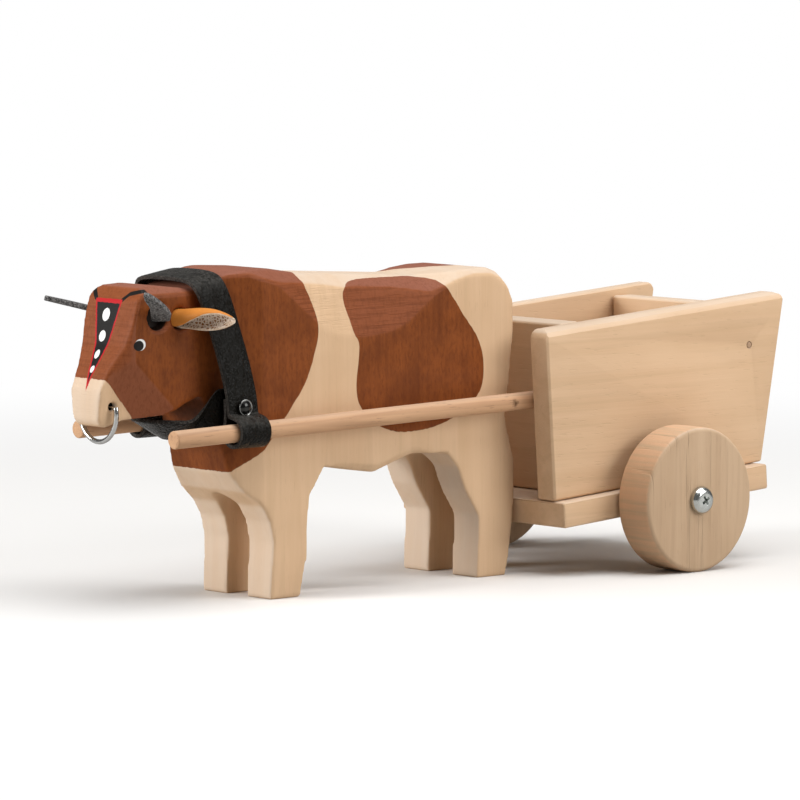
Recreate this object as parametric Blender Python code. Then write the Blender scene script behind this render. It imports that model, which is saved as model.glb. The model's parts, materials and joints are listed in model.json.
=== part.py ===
"""Wooden toy bullock cart: a carved bullock in leather harness pulls a two-wheeled tip cart.

Metres, +Z up, +X the way the bullock walks, +Y its left side, z = 0 the floor it stands on.
The cart is drawn level round its axle, then tipped with its load box by CART_TIP.
"""
import math

import bmesh
import bpy
from mathutils import Matrix, Vector

# Wheels and the screws they turn on
WHEEL_DIAMETER = 0.050
WHEEL_THICKNESS = 0.0152
WHEEL_EDGE = 0.0015
WHEEL_SIDE_GAP = 0.0014
SCREW_SHANK_DIAMETER = 0.0040
SCREW_HEAD_DIAMETER = 0.0096
SCREW_HEAD_HEIGHT = 0.0026
SCREW_BITE = 0.0140
RUNNING_CLEARANCE = 0.0003
SEAT_GAP = 0.0003

# Cart boards
BOARD_THICKNESS = 0.0090
BOARD_EDGE = 0.0007
FLOOR_THICKNESS = 0.0088
FLOOR_FRONT = 0.0486
FLOOR_REAR = 0.0498
FLOOR_LEDGE = 0.0043
FLOOR_EDGE = 0.0016
BOX_OUTER_WIDTH = 0.0742
BOX_HEIGHT = 0.0586
BOX_TOP_REACH = 0.0660
BOX_BOTTOM_REACH = 0.0516
PANEL_CORNER = 0.0030
PANEL_TOP_DROP = 0.0024
PANEL_TOP_ROUND = 0.0040
HEADBOARD_RECESS = 0.0150
CART_TIP = math.radians(4.0)

# Tailboard, hung from a pin in each side panel
TAILBOARD_PIN_BEHIND_AXLE = 0.0478
TAILBOARD_PIN_UP = 0.0465
TAILBOARD_HEAD = 0.0140
TAILBOARD_FLOOR_GAP = 0.0012
TAILBOARD_SIDE_GAP = 0.0005
PIN_DIAMETER = 0.0020
PIN_BITE = 0.0070

# Shafts
SHAFT_DIAMETER = 0.0060
SHAFT_FRONT = 0.2074
SHAFT_FRONT_HEIGHT = 0.0568
SHAFT_REAR_HEIGHT = 0.0603
SHAFT_END_EDGE = 0.0006

# Bullock, carved from one block
BULL_LENGTH = 0.1725
BULL_HEIGHT = 0.1100
BULL_WIDTH = 0.0380
BULL_BEHIND_GAP = 0.0030
FRONT_LEG_WIDTH = 0.0350
FRONT_SLOT_WIDTH = 0.0104
FRONT_SLOT_TOP = 0.0350
REAR_SLOT_WIDTH = 0.0120
REAR_SLOT_TOP = 0.0440
HORN_HOLE_DIAMETER = 0.0088
EAR_HOLE_DIAMETER = 0.0072
HEAD_HOLE_DEPTH = 0.0055
NOSTRIL_DIAMETER = 0.0030
NOSTRIL_DEPTH = 0.0040
HEAD_WIDTH = 0.0264
MUZZLE_WIDTH = 0.0150

# Side view of the bullock, as shares of its length from the hock and of its height
SIDE_VIEW_SHARES = (
    (0.020, 0.000), (0.098, 0.000), (0.093, 0.127), (0.093, 0.195), (0.128, 0.277), (0.148, 0.350),
    (0.176, 0.400), (0.262, 0.404), (0.319, 0.376), (0.359, 0.357), (0.430, 0.373), (0.496, 0.391),
    (0.530, 0.309), (0.537, 0.200), (0.535, 0.127), (0.551, 0.000), (0.628, 0.000), (0.622, 0.173),
    (0.631, 0.235), (0.651, 0.286), (0.689, 0.331), (0.718, 0.391), (0.728, 0.455), (0.748, 0.545),
    (0.777, 0.628), (0.812, 0.610), (0.858, 0.577), (0.945, 0.566), (0.978, 0.548), (0.992, 0.554),
    (1.000, 0.572), (1.001, 0.620), (0.999, 0.660), (0.988, 0.700), (0.954, 0.795), (0.931, 0.925),
    (0.912, 0.962), (0.880, 0.966), (0.793, 0.950), (0.735, 0.985), (0.667, 1.000), (0.600, 0.996),
    (0.516, 0.975), (0.348, 0.961), (0.220, 0.948), (0.110, 0.961), (0.058, 0.963), (0.024, 0.946),
    (0.004, 0.905), (-0.005, 0.855), (-0.006, 0.760), (0.012, 0.590), (0.021, 0.500), (0.014, 0.450),
    (0.004, 0.412), (-0.006, 0.366), (-0.009, 0.320), (-0.009, 0.280), (-0.005, 0.190), (0.003, 0.110),
    (0.014, 0.035),
)

# Top view: share of the length from the hock, share of half the width
TOP_VIEW_SHARES = (
    (-0.050, 0.900), (-0.012, 0.940), (0.014, 1.000), (0.650, 1.000), (0.728, 0.740),
    (0.800, 0.700), (0.940, 0.684), (0.976, 0.460), (1.010, 0.370),
)

# Curved cuts along both sides of the block. Each has the line where it leaves the side face, as
# shares of length and height, then the way it runs in from there: share in for each share up
BACK_SCOOP_SHARES = (
    (0.130, 1.020), (0.181, 0.914), (0.239, 0.853), (0.275, 0.812), (0.315, 0.786), (0.395, 0.772),
    (0.465, 0.788), (0.515, 0.826), (0.565, 0.885), (0.616, 0.950), (0.670, 1.020),
)
BACK_SCOOP_LEAN = 0.20
TOP_CHAMFER_SHARES = (
    (-0.030, 0.800), (0.000, 0.860), (0.013, 0.898), (0.031, 0.927), (0.058, 0.944), (0.104, 0.947),
    (0.154, 0.930), (0.217, 0.894), (0.328, 0.902), (0.430, 0.908), (0.539, 0.936), (0.603, 0.952),
    (0.642, 0.969), (0.675, 0.977), (0.720, 0.960), (0.760, 0.930), (0.800, 0.905), (0.900, 0.902),
    (0.930, 0.915), (0.960, 0.930),
)
TOP_CHAMFER_LEAN = 1.50
BELLY_CHAMFER_SHARES = (
    (0.190, 0.385), (0.230, 0.410), (0.262, 0.425), (0.319, 0.402), (0.359, 0.383), (0.430, 0.397),
    (0.470, 0.400), (0.500, 0.375),
)
BELLY_CHAMFER_LEAN = -0.75

# Flat knife cuts on the head, each made on both sides. Two points give the edge that the jaw and the
# muzzle cuts share, and one more point lies on each cut: shares of length, half width and height
CHEEK_EDGE_SHARES = ((0.984, 0.447, 0.695), (0.925, 0.379, 0.566))
JAW_POINT_SHARES = (0.858, 0.695, 0.622)
MUZZLE_POINT_SHARES = (0.997, 0.368, 0.600)
KNIFE_REACH_SHARE = 0.300

# Harness
STRAP_WIDTH = 0.0124
STRAP_THICKNESS = 0.0015
STRAP_AHEAD = 0.1245
STRAP_TOP_REACH = 0.0090
NECK_TOP_SHARE = 0.968
NECK_SLOPE = 0.27
LOOP_CLEARANCE = 0.0010
STUD_DIAMETER = 0.0055
STUD_HEIGHT = 0.0016
STUD_ABOVE_SHAFT = 0.0080
CHEST_STRAP_RADIUS = 0.0172
CHEST_STRAP_TILT = math.radians(58.0)
JAW_UNDERSIDE_SHARE = 0.574
JAW_CLEARANCE = 0.0008

# Ring, horns and ears
RING_RADIUS = 0.0093
RING_WIRE = 0.0017
HORN_THICKNESS = 0.0017
HORN_LENGTHS = {"left": 0.0185, "right": 0.0215}
HORN_LIFTS = {"left": math.radians(28.0), "right": math.radians(14.0)}
HORN_SWEEP = math.radians(35.0)
EAR_LENGTH = 0.0205
EAR_HEIGHT = 0.0082
EAR_THICKNESS = 0.0010
EAR_SWEEP = math.radians(110.0)
EAR_LOWER_EDGE = math.radians(-80.0)

# Places on the head, as shares of the bullock's length and height
HORN_PLACE_SHARES = (0.882, 0.872)
EAR_PLACE_SHARES = (0.829, 0.864)
NOSTRIL_PLACE_SHARES = (0.968, 0.612)

# Horn outline: share of the horn's length, share of its length across
HORN_OUTLINE_SHARES = (
    (-0.11, -0.17), (0.24, -0.085), (0.49, -0.04), (0.82, -0.05), (1.00, -0.03), (0.99, 0.05),
    (0.84, 0.125), (0.68, 0.18), (0.45, 0.235), (0.27, 0.25), (0.10, 0.25), (-0.06, 0.19),
)
# Ear: share of its length, share of its full height there, share of a full turn that it is rolled through
EAR_STATION_SHARES = (
    (-0.14, 0.62, 0.88), (0.06, 0.74, 0.86), (0.28, 0.98, 0.74), (0.55, 1.00, 0.62), (0.80, 0.72, 0.55),
    (1.00, 0.22, 0.52),
)

CIRCLE_STEPS = 48
SMALL_CIRCLE_STEPS = 20
CUT_OVERRUN = 0.0040
SLIVER = 0.00005

SIDES = {"left": 1.0, "right": -1.0}
AXLE_HEIGHT = WHEEL_DIAMETER / 2
PANEL_OUT = BOX_OUTER_WIDTH / 2
PANEL_IN = PANEL_OUT - BOARD_THICKNESS
FLOOR_HALF_WIDTH = PANEL_OUT + FLOOR_LEDGE
FLOOR_TOP = AXLE_HEIGHT + FLOOR_THICKNESS / 2
BOX_BOTTOM = FLOOR_TOP + SEAT_GAP
BOX_TOP = BOX_BOTTOM + BOX_HEIGHT
HEADBOARD_FRONT = FLOOR_FRONT - HEADBOARD_RECESS
WHEEL_IN = FLOOR_HALF_WIDTH + WHEEL_SIDE_GAP
WHEEL_OUT = WHEEL_IN + WHEEL_THICKNESS
SHAFT_RADIUS = SHAFT_DIAMETER / 2
SHAFT_OUT = PANEL_IN - SEAT_GAP - SHAFT_RADIUS
TAILBOARD_PIN_HEIGHT = FLOOR_TOP + TAILBOARD_PIN_UP - FLOOR_THICKNESS / 2
HALF_WIDTH = BULL_WIDTH / 2
BULL_REAR = FLOOR_FRONT + BULL_BEHIND_GAP
LOOP_AHEAD = BULL_REAR + STRAP_AHEAD
SHAFT_SLOPE = (SHAFT_REAR_HEIGHT - SHAFT_FRONT_HEIGHT) / (SHAFT_FRONT - FLOOR_FRONT)
LOOP_HEIGHT = SHAFT_FRONT_HEIGHT + SHAFT_SLOPE * (SHAFT_FRONT - LOOP_AHEAD)
STUD_LEVEL = LOOP_HEIGHT + STUD_ABOVE_SHAFT
PINCH_OUT = HALF_WIDTH + STRAP_THICKNESS * 2
PINCH_HEIGHT = STUD_LEVEL - STUD_DIAMETER * 0.55
STRAP_TOP = BULL_HEIGHT * NECK_TOP_SHARE + SEAT_GAP
STRAP_FLAT = PINCH_HEIGHT + STUD_DIAMETER * 1.1


def clear_scene():
    """Take every object out of the start-up scene."""
    for thing in list(bpy.data.objects):
        bpy.data.objects.remove(thing, do_unlink=True)


def finish_material(name, colour, roughness, metallic=0.0):
    """Return a plain Principled material of its own for one piece."""
    material = bpy.data.materials.new(name)
    material.use_nodes = True
    shader = material.node_tree.nodes["Principled BSDF"]
    shader.inputs["Base Color"].default_value = (*colour, 1.0)
    shader.inputs["Roughness"].default_value = roughness
    shader.inputs["Metallic"].default_value = metallic
    return material


FINISHES = {
    "maple": ((0.72, 0.52, 0.33), 0.55, 0.0),
    "beech": ((0.62, 0.40, 0.25), 0.55, 0.0),
    "stained": ((0.66, 0.47, 0.29), 0.50, 0.0),
    "black_leather": ((0.015, 0.014, 0.014), 0.45, 0.0),
    "horn_leather": ((0.03, 0.03, 0.03), 0.50, 0.0),
    "tan_leather": ((0.60, 0.28, 0.08), 0.50, 0.0),
    "steel": ((0.70, 0.70, 0.70), 0.25, 1.0),
    "dark_steel": ((0.10, 0.10, 0.10), 0.30, 1.0),
}


def new_object(name, bm, finish, origin=(0.0, 0.0, 0.0)):
    """Turn a bmesh, drawn in the part's frame, into an object with its origin at a given point."""
    bmesh.ops.remove_doubles(bm, verts=bm.verts, dist=RUNNING_CLEARANCE / 100)
    bmesh.ops.recalc_face_normals(bm, faces=bm.faces)
    bmesh.ops.translate(bm, verts=bm.verts, vec=-Vector(origin))
    mesh = bpy.data.meshes.new(name)
    bm.to_mesh(mesh)
    bm.free()
    thing = bpy.data.objects.new(name, mesh)
    thing.location = origin
    bpy.context.scene.collection.objects.link(thing)
    if finish:
        mesh.materials.append(finish_material(name, *FINISHES[finish]))
    return thing


def loft(sections, closed_ends=True):
    """Skin rings of points, all of one length, and cap both ends."""
    bm = bmesh.new()
    rings = [[bm.verts.new(point) for point in section] for section in sections]
    count = len(rings[0])
    for ring, after in zip(rings, rings[1:]):
        for i in range(count):
            j = (i + 1) % count
            bm.faces.new((ring[i], ring[j], after[j], after[i]))
    if closed_ends:
        bm.faces.new(rings[0][::-1])
        bm.faces.new(rings[-1])
    return bm


def prism(outline, low, high, place):
    """Sweep a flat outline from low to high; place turns (a, b, depth) into a point."""
    return loft([[place(a, b, depth) for a, b in outline] for depth in (low, high)])


def across(a, b, depth):
    """A side view swept across the part."""
    return Vector((a, depth, b))


def upward(a, b, depth):
    """A top view swept upward."""
    return Vector((a, b, depth))


def along(a, b, depth):
    """A front view swept along the part."""
    return Vector((depth, a, b))


def circle(radius, steps, centre=(0.0, 0.0)):
    """Points round a circle."""
    turn = 2 * math.pi / steps
    return [(centre[0] + radius * math.cos(i * turn), centre[1] + radius * math.sin(i * turn))
            for i in range(steps)]


def revolve(profile, centre, steps):
    """Turn a profile of (radius, out) round the Y direction through centre."""
    sections = [[Vector((x, centre[1] + out, z)) for x, z in circle(radius, steps, (centre[0], centre[2]))]
                for radius, out in profile]
    return loft(sections)


def cut_with(thing, cutter_bm, operation="DIFFERENCE"):
    """Apply one exact boolean to an object and take the cutter away."""
    cutter = new_object(thing.name + "_cutter", cutter_bm, None)
    cutter.hide_render = True
    cutter.display_type = "WIRE"
    step = thing.modifiers.new("cut", "BOOLEAN")
    step.operation = operation
    step.solver = "EXACT"
    step.object = cutter
    bake(thing)
    bpy.data.objects.remove(cutter, do_unlink=True)


def bake(thing):
    """Replace an object's mesh by what its modifiers make of it."""
    bpy.context.view_layer.update()
    graph = bpy.context.evaluated_depsgraph_get()
    mesh = bpy.data.meshes.new_from_object(thing.evaluated_get(graph))
    old = thing.data
    thing.modifiers.clear()
    thing.data = mesh
    mesh.name = thing.name
    bpy.data.meshes.remove(old)


def soften(thing, width, segments=1, angle=math.radians(30)):
    """Round an object's sharp edges over."""
    step = thing.modifiers.new("edges", "BEVEL")
    step.width = width
    step.segments = segments
    step.limit_method = "ANGLE"
    step.angle_limit = angle
    step.harden_normals = False
    bake(thing)


def clean_cuts(thing):
    """Join the slivers that many cuts leave behind, and the flat faces they part."""
    bm = bmesh.new()
    bm.from_mesh(thing.data)
    bmesh.ops.remove_doubles(bm, verts=bm.verts, dist=SLIVER)
    bmesh.ops.dissolve_limit(bm, angle_limit=math.radians(1), verts=bm.verts, edges=bm.edges)
    bm.to_mesh(thing.data)
    bm.free()


def smooth_round(thing):
    """Shade a round piece smooth but for its sharp edges."""
    for face in thing.data.polygons:
        face.use_smooth = True
    thing.data.set_sharp_from_angle(angle=math.radians(35))


def tipped():
    """The turn that tips the level cart nose down about its axle."""
    axle = Vector((0.0, 0.0, AXLE_HEIGHT))
    return Matrix.Translation(axle) @ Matrix.Rotation(CART_TIP, 4, "Y") @ Matrix.Translation(-axle)


def tip(thing):
    """Tip an object drawn level; its origin moves with it and its axes stay square."""
    turn = tipped()
    where = turn @ thing.location.copy()
    thing.data.transform(Matrix.Rotation(CART_TIP, 4, "Y"))
    thing.location = where
    return thing


def make_floor():
    """Floor board with a rounded ledge and a hole for each wheel screw."""
    outline = [(-FLOOR_REAR, -FLOOR_HALF_WIDTH), (FLOOR_FRONT, -FLOOR_HALF_WIDTH),
               (FLOOR_FRONT, FLOOR_HALF_WIDTH), (-FLOOR_REAR, FLOOR_HALF_WIDTH)]
    floor = new_object("cart_floor", prism(outline, FLOOR_TOP - FLOOR_THICKNESS, FLOOR_TOP, upward), "maple")
    soften(floor, FLOOR_EDGE / 2, 2)
    radius = SCREW_SHANK_DIAMETER / 2 + RUNNING_CLEARANCE
    for sign in SIDES.values():
        deep = FLOOR_HALF_WIDTH - SCREW_BITE - RUNNING_CLEARANCE
        hole = revolve(((radius, sign * deep), (radius, sign * (FLOOR_HALF_WIDTH + CUT_OVERRUN))),
                       (0.0, 0.0, AXLE_HEIGHT), SMALL_CIRCLE_STEPS)
        cut_with(floor, hole)
    return [tip(floor)]


def panel_outline():
    """Side view of a side panel: square front, raked rear, rounded top corners."""
    steps = (0.0, 0.3, 0.7, 1.0)
    corner = PANEL_CORNER
    points = [(-BOX_BOTTOM_REACH, BOX_BOTTOM), (FLOOR_FRONT, BOX_BOTTOM)]
    for t in steps:
        turn = t * math.pi / 2
        points.append((FLOOR_FRONT - corner * (1 - math.cos(turn)), BOX_TOP - corner * (1 - math.sin(turn))))
    for t in steps:
        turn = t * math.pi / 2
        rear = -BOX_TOP_REACH + corner * (1 - math.sin(turn))
        points.append((rear, BOX_TOP - corner * (1 - math.cos(turn))))
    return points


def make_panels():
    """Side panels, their outer top edge rounded over, each with a pin hole."""
    panels = []
    for side, sign in SIDES.items():
        block = prism(panel_outline(), sign * PANEL_IN, sign * PANEL_OUT, across)
        panel = new_object("panel_" + side, block, "maple")
        soften(panel, BOARD_EDGE)
        edge = [(PANEL_OUT - PANEL_TOP_ROUND, BOX_TOP + CUT_OVERRUN), (PANEL_OUT - PANEL_TOP_ROUND, BOX_TOP),
                (PANEL_OUT - PANEL_TOP_ROUND / 3, BOX_TOP - PANEL_TOP_DROP / 3),
                (PANEL_OUT + CUT_OVERRUN / 4, BOX_TOP - PANEL_TOP_DROP - CUT_OVERRUN / 4),
                (PANEL_OUT + CUT_OVERRUN, BOX_TOP + CUT_OVERRUN)]
        edge = [(sign * y, z) for y, z in edge]
        reach = BOX_TOP_REACH + CUT_OVERRUN
        cut_with(panel, prism(edge, -reach, reach, along))
        radius = PIN_DIAMETER / 2 + RUNNING_CLEARANCE
        centre = (-TAILBOARD_PIN_BEHIND_AXLE, 0.0, TAILBOARD_PIN_HEIGHT)
        ends = (PANEL_IN - CUT_OVERRUN, PANEL_OUT + CUT_OVERRUN)
        hole = revolve([(radius, sign * y) for y in ends], centre, SMALL_CIRCLE_STEPS)
        cut_with(panel, hole)
        panels.append(tip(panel))
    return panels


def board_across(name, front, rear, low, high, half_width, edge):
    """A plain board that stands across the load box."""
    outline = [(rear, low), (front, low), (front, high), (rear, high)]
    board = new_object(name, prism(outline, -half_width, half_width, across), "maple")
    soften(board, edge)
    return board


def make_headboard():
    """Board that closes the front of the load box, set back between the side panels."""
    board = board_across("headboard", HEADBOARD_FRONT, HEADBOARD_FRONT - BOARD_THICKNESS, BOX_BOTTOM, BOX_TOP,
                         PANEL_IN - SEAT_GAP, BOARD_EDGE)
    return [tip(board)]


def make_tailboard():
    """Tailboard that swings on two pins and hangs upright behind the load."""
    half = BOARD_THICKNESS / 2
    pin_x, pin_z = -TAILBOARD_PIN_BEHIND_AXLE, TAILBOARD_PIN_HEIGHT
    width = PANEL_IN - TAILBOARD_SIDE_GAP
    low = FLOOR_TOP + TAILBOARD_FLOOR_GAP
    high = pin_z + TAILBOARD_HEAD
    board = board_across("tailboard", pin_x + half, pin_x - half, low, high, width, BOARD_EDGE)
    radius = PIN_DIAMETER / 2 + RUNNING_CLEARANCE
    for sign in SIDES.values():
        deep = width - PIN_BITE - RUNNING_CLEARANCE
        hole = revolve(((radius, sign * deep), (radius, sign * (width + CUT_OVERRUN))),
                       (pin_x, 0.0, pin_z), SMALL_CIRCLE_STEPS)
        cut_with(board, hole)
    set_origin(board, (pin_x, 0.0, pin_z))
    board.location = tipped() @ board.location.copy()
    pins = []
    for side, sign in SIDES.items():
        pin = revolve(((PIN_DIAMETER / 2, sign * (width - PIN_BITE)), (PIN_DIAMETER / 2, sign * PANEL_OUT)),
                      (pin_x, 0.0, pin_z), SMALL_CIRCLE_STEPS)
        pins.append(tip(new_object("tailboard_pin_" + side, pin, "steel")))
        smooth_round(pins[-1])
    return [board] + pins


def set_origin(thing, point):
    """Move an object's origin without moving its shape."""
    shift = Vector(point) - thing.location
    thing.data.transform(Matrix.Translation(-shift))
    thing.location = point


def make_wheels():
    """Turned wheels with eased rims, each on a pan-head screw in the edge of the floor board."""
    made = []
    rim = WHEEL_DIAMETER / 2
    bore = SCREW_SHANK_DIAMETER / 2 + RUNNING_CLEARANCE
    centre = (0.0, 0.0, AXLE_HEIGHT)
    for side, sign in SIDES.items():
        profile = ((rim - WHEEL_EDGE, WHEEL_IN), (rim, WHEEL_IN + WHEEL_EDGE), (rim, WHEEL_OUT - WHEEL_EDGE),
                   (rim - WHEEL_EDGE, WHEEL_OUT))
        disc = revolve([(r, sign * y) for r, y in profile], centre, CIRCLE_STEPS)
        wheel = new_object("wheel_" + side, disc, "beech", (0.0, sign * WHEEL_IN, AXLE_HEIGHT))
        hole = revolve(((bore, sign * (WHEEL_IN - CUT_OVERRUN)), (bore, sign * (WHEEL_OUT + CUT_OVERRUN))),
                       centre, SMALL_CIRCLE_STEPS)
        cut_with(wheel, hole)
        smooth_round(wheel)
        shank, head = SCREW_SHANK_DIAMETER / 2, SCREW_HEAD_DIAMETER / 2
        under = WHEEL_OUT + RUNNING_CLEARANCE
        profile = ((shank, FLOOR_HALF_WIDTH - SCREW_BITE), (shank, under), (head, under),
                   (head, under + SCREW_HEAD_HEIGHT / 2), (head * 0.8, under + SCREW_HEAD_HEIGHT * 0.85),
                   (head * 0.4, under + SCREW_HEAD_HEIGHT))
        screw = new_object("screw_" + side, revolve([(r, sign * y) for r, y in profile], centre,
                                                    SMALL_CIRCLE_STEPS), "steel")
        smooth_round(screw)
        made += [wheel, screw]
    return made


def make_shafts():
    """Dowel shafts that run forward from the headboard, along the inside of the panels."""
    made = []
    above_axle = SHAFT_REAR_HEIGHT + SHAFT_DIAMETER - AXLE_HEIGHT
    rear_x = HEADBOARD_FRONT / math.cos(CART_TIP) + above_axle * math.tan(CART_TIP) + SEAT_GAP
    rear_z = SHAFT_FRONT_HEIGHT + SHAFT_SLOPE * (SHAFT_FRONT - rear_x)
    for side, sign in SIDES.items():
        rear = Vector((rear_x, sign * SHAFT_OUT, rear_z))
        front = Vector((SHAFT_FRONT, sign * SHAFT_OUT, SHAFT_FRONT_HEIGHT))
        line = (front - rear).normalized()
        edge = line * SHAFT_END_EDGE
        stations = ((rear, SHAFT_RADIUS - SHAFT_END_EDGE), (rear + edge, SHAFT_RADIUS),
                    (front - edge, SHAFT_RADIUS), (front, SHAFT_RADIUS - SHAFT_END_EDGE))
        rings = [ring_across(line, centre, radius) for centre, radius in stations]
        shaft = new_object("shaft_" + side, loft(rings), "beech")
        smooth_round(shaft)
        made.append(shaft)
    return made


def ring_across(line, centre, radius):
    """Points round a circle that stands square across a line."""
    up = line.cross(Vector((0.0, 1.0, 0.0))).normalized()
    out = up.cross(line)
    return [centre + out * a + up * b for a, b in circle(radius, SMALL_CIRCLE_STEPS)]


def bull_point(share_along, share_out, share_up):
    """A point on the bullock from shares of its length, half width and height."""
    return Vector((BULL_REAR + share_along * BULL_LENGTH, share_out * HALF_WIDTH, share_up * BULL_HEIGHT))


def knife_waste(start, end, point, sign):
    """Waste outside the plane of three points, on the third point's side of the edge start-end."""
    reach = KNIFE_REACH_SHARE * BULL_HEIGHT
    line = (end - start).normalized()
    inward = point - start
    inward = (inward - line * inward.dot(line)).normalized()
    facing = line.cross(inward)
    facing *= sign * math.copysign(1.0, facing.y)
    low, high = start - line * reach, start + line * reach
    square = (low, high, high + inward * reach, low + inward * reach)
    return loft([square, [corner + facing * reach for corner in square]])


def arch_outline(width, top, low):
    """Front view of a slot with a round top."""
    half = width / 2
    steps = 8
    spring = top - half
    points = [(-half, low), (half, low)]
    points += [(half * math.cos(i * math.pi / steps), spring + half * math.sin(i * math.pi / steps))
               for i in range(steps + 1)]
    return points


def carve_bull():
    """Saw the block to its side and top views, saw out between the legs, then carve the planes."""
    outline = [(BULL_REAR + a * BULL_LENGTH, b * BULL_HEIGHT) for a, b in SIDE_VIEW_SHARES]
    bull = new_object("bullock", prism(outline, -HALF_WIDTH, HALF_WIDTH, across), "stained")
    half = [(BULL_REAR + a * BULL_LENGTH, b * HALF_WIDTH) for a, b in TOP_VIEW_SHARES]
    plan = half + [(x, -y) for x, y in reversed(half)]
    cut_with(bull, prism(plan, -CUT_OVERRUN, BULL_HEIGHT + CUT_OVERRUN, upward), "INTERSECT")
    rear_end, middle = BULL_REAR - CUT_OVERRUN, BULL_REAR + BULL_LENGTH * 0.35
    arch = arch_outline(REAR_SLOT_WIDTH, REAR_SLOT_TOP, -CUT_OVERRUN)
    cut_with(bull, prism(arch, rear_end, middle, along))
    front_end = BULL_REAR + BULL_LENGTH
    arch = arch_outline(FRONT_SLOT_WIDTH, FRONT_SLOT_TOP, -CUT_OVERRUN)
    cut_with(bull, prism(arch, middle, front_end, along))
    curved_cuts = ((BACK_SCOOP_SHARES, BACK_SCOOP_LEAN, (0.70, 1.10)),
                   (TOP_CHAMFER_SHARES, TOP_CHAMFER_LEAN, (0.78, 1.10)),
                   (BELLY_CHAMFER_SHARES, BELLY_CHAMFER_LEAN, (0.25, 0.45)))
    for sign in SIDES.values():
        for line, lean, heights in curved_cuts:
            cut_with(bull, curved_waste(sign, line, lean, heights))
        cut_with(bull, leg_trim(sign))
        start, end = (mirrored(point, sign) for point in CHEEK_EDGE_SHARES)
        for point in (JAW_POINT_SHARES, MUZZLE_POINT_SHARES):
            cut_with(bull, knife_waste(start, end, mirrored(point, sign), sign))
    return bull


def mirrored(shares, sign):
    """A point on one side of the bullock from its shares."""
    return bull_point(shares[0], sign * shares[1], shares[2])


def curved_waste(sign, line, lean, heights):
    """Waste beside the block, outside a curved surface that leans in from a line on the side face."""
    rings = []
    for height_share in heights:
        height = height_share * BULL_HEIGHT
        ring = []
        for a, b in line:
            y = HALF_WIDTH - (height - b * BULL_HEIGHT) * lean
            ring.append(Vector((BULL_REAR + a * BULL_LENGTH, sign * y, height)))
        first, last = ring[0].x, ring[-1].x
        ring += [Vector((x, sign * BULL_WIDTH * 2, height)) for x in (last, first)]
        rings.append(ring)
    return loft(rings)


def leg_trim(sign):
    """Waste that narrows the front legs towards their hooves."""
    out, wide = FRONT_LEG_WIDTH / 2, BULL_WIDTH
    low, shoulder = -CUT_OVERRUN, FRONT_SLOT_TOP * 1.22
    outline = [(sign * out, low), (sign * wide, low), (sign * wide, shoulder), (sign * HALF_WIDTH, shoulder)]
    return prism(outline, BULL_REAR + BULL_LENGTH * 0.50, BULL_REAR + BULL_LENGTH * 0.75, along)


def drill_head(bull):
    """Drill the blind holes that hold horns and ears, and the nostrils."""
    horn, ear, nose = HORN_PLACE_SHARES, EAR_PLACE_SHARES, NOSTRIL_PLACE_SHARES
    head, muzzle = HEAD_WIDTH / 2, MUZZLE_WIDTH / 2
    holes = ((horn, HORN_HOLE_DIAMETER, head - HEAD_HOLE_DEPTH, SMALL_CIRCLE_STEPS),
             (ear, EAR_HOLE_DIAMETER, head - HEAD_HOLE_DEPTH, SMALL_CIRCLE_STEPS),
             (nose, NOSTRIL_DIAMETER, muzzle - NOSTRIL_DEPTH, SMALL_CIRCLE_STEPS))
    for sign in SIDES.values():
        for place, diameter, deep, steps in holes:
            centre = bull_point(place[0], 0.0, place[1])
            drill = revolve(((diameter / 2, sign * deep), (diameter / 2, sign * BULL_WIDTH)), centre, steps)
            cut_with(bull, drill)


def make_horns():
    """Flat leather crescents, one bent higher than the other."""
    made = []
    for side, sign in SIDES.items():
        lift, length = HORN_LIFTS[side], HORN_LENGTHS[side]
        ahead = Vector((math.cos(HORN_SWEEP), sign * math.sin(HORN_SWEEP), 0.0))
        back = Vector((-math.sin(HORN_SWEEP), sign * math.cos(HORN_SWEEP), 0.0))
        line = ahead * math.cos(lift) + Vector((0.0, 0.0, math.sin(lift)))
        face = Vector((0.0, 0.0, math.cos(lift))) - ahead * math.sin(lift)
        root = bull_point(HORN_PLACE_SHARES[0], 0.0, HORN_PLACE_SHARES[1])
        root.y = sign * HEAD_WIDTH / 2
        half = HORN_THICKNESS / 2
        rings = [[root + line * (a * length) + back * (b * length) + face * depth
                  for a, b in HORN_OUTLINE_SHARES] for depth in (-half, half)]
        made.append(new_object("horn_" + side, loft(rings), "horn_leather"))
    return made


def make_ears():
    """Leather leaves, rolled at the root and open towards the tip, pushed into their holes."""
    made = []
    steps = 9
    for side, sign in SIDES.items():
        line = Vector((math.cos(EAR_SWEEP), sign * math.sin(EAR_SWEEP), 0.0))
        back = Vector((-math.sin(EAR_SWEEP), sign * math.cos(EAR_SWEEP), 0.0))
        up = Vector((0.0, 0.0, 1.0))
        root = bull_point(EAR_PLACE_SHARES[0], 0.0, EAR_PLACE_SHARES[1])
        root.y = sign * HEAD_WIDTH / 2
        rings = []
        for a, b, roll in EAR_STATION_SHARES:
            arc = [EAR_LOWER_EDGE + 2 * math.pi * roll * i / steps for i in range(steps + 1)]
            centre = root + line * (a * EAR_LENGTH)
            outer = b * EAR_HEIGHT / 2
            inner = max(outer - EAR_THICKNESS, outer * 0.4)
            ring = [centre + back * (outer * math.cos(t)) + up * (outer * math.sin(t)) for t in arc]
            ring += [centre + back * (inner * math.cos(t)) + up * (inner * math.sin(t))
                     for t in reversed(arc)]
            rings.append(ring)
        made.append(new_object("ear_" + side, loft(rings), "tan_leather"))
    return made


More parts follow.
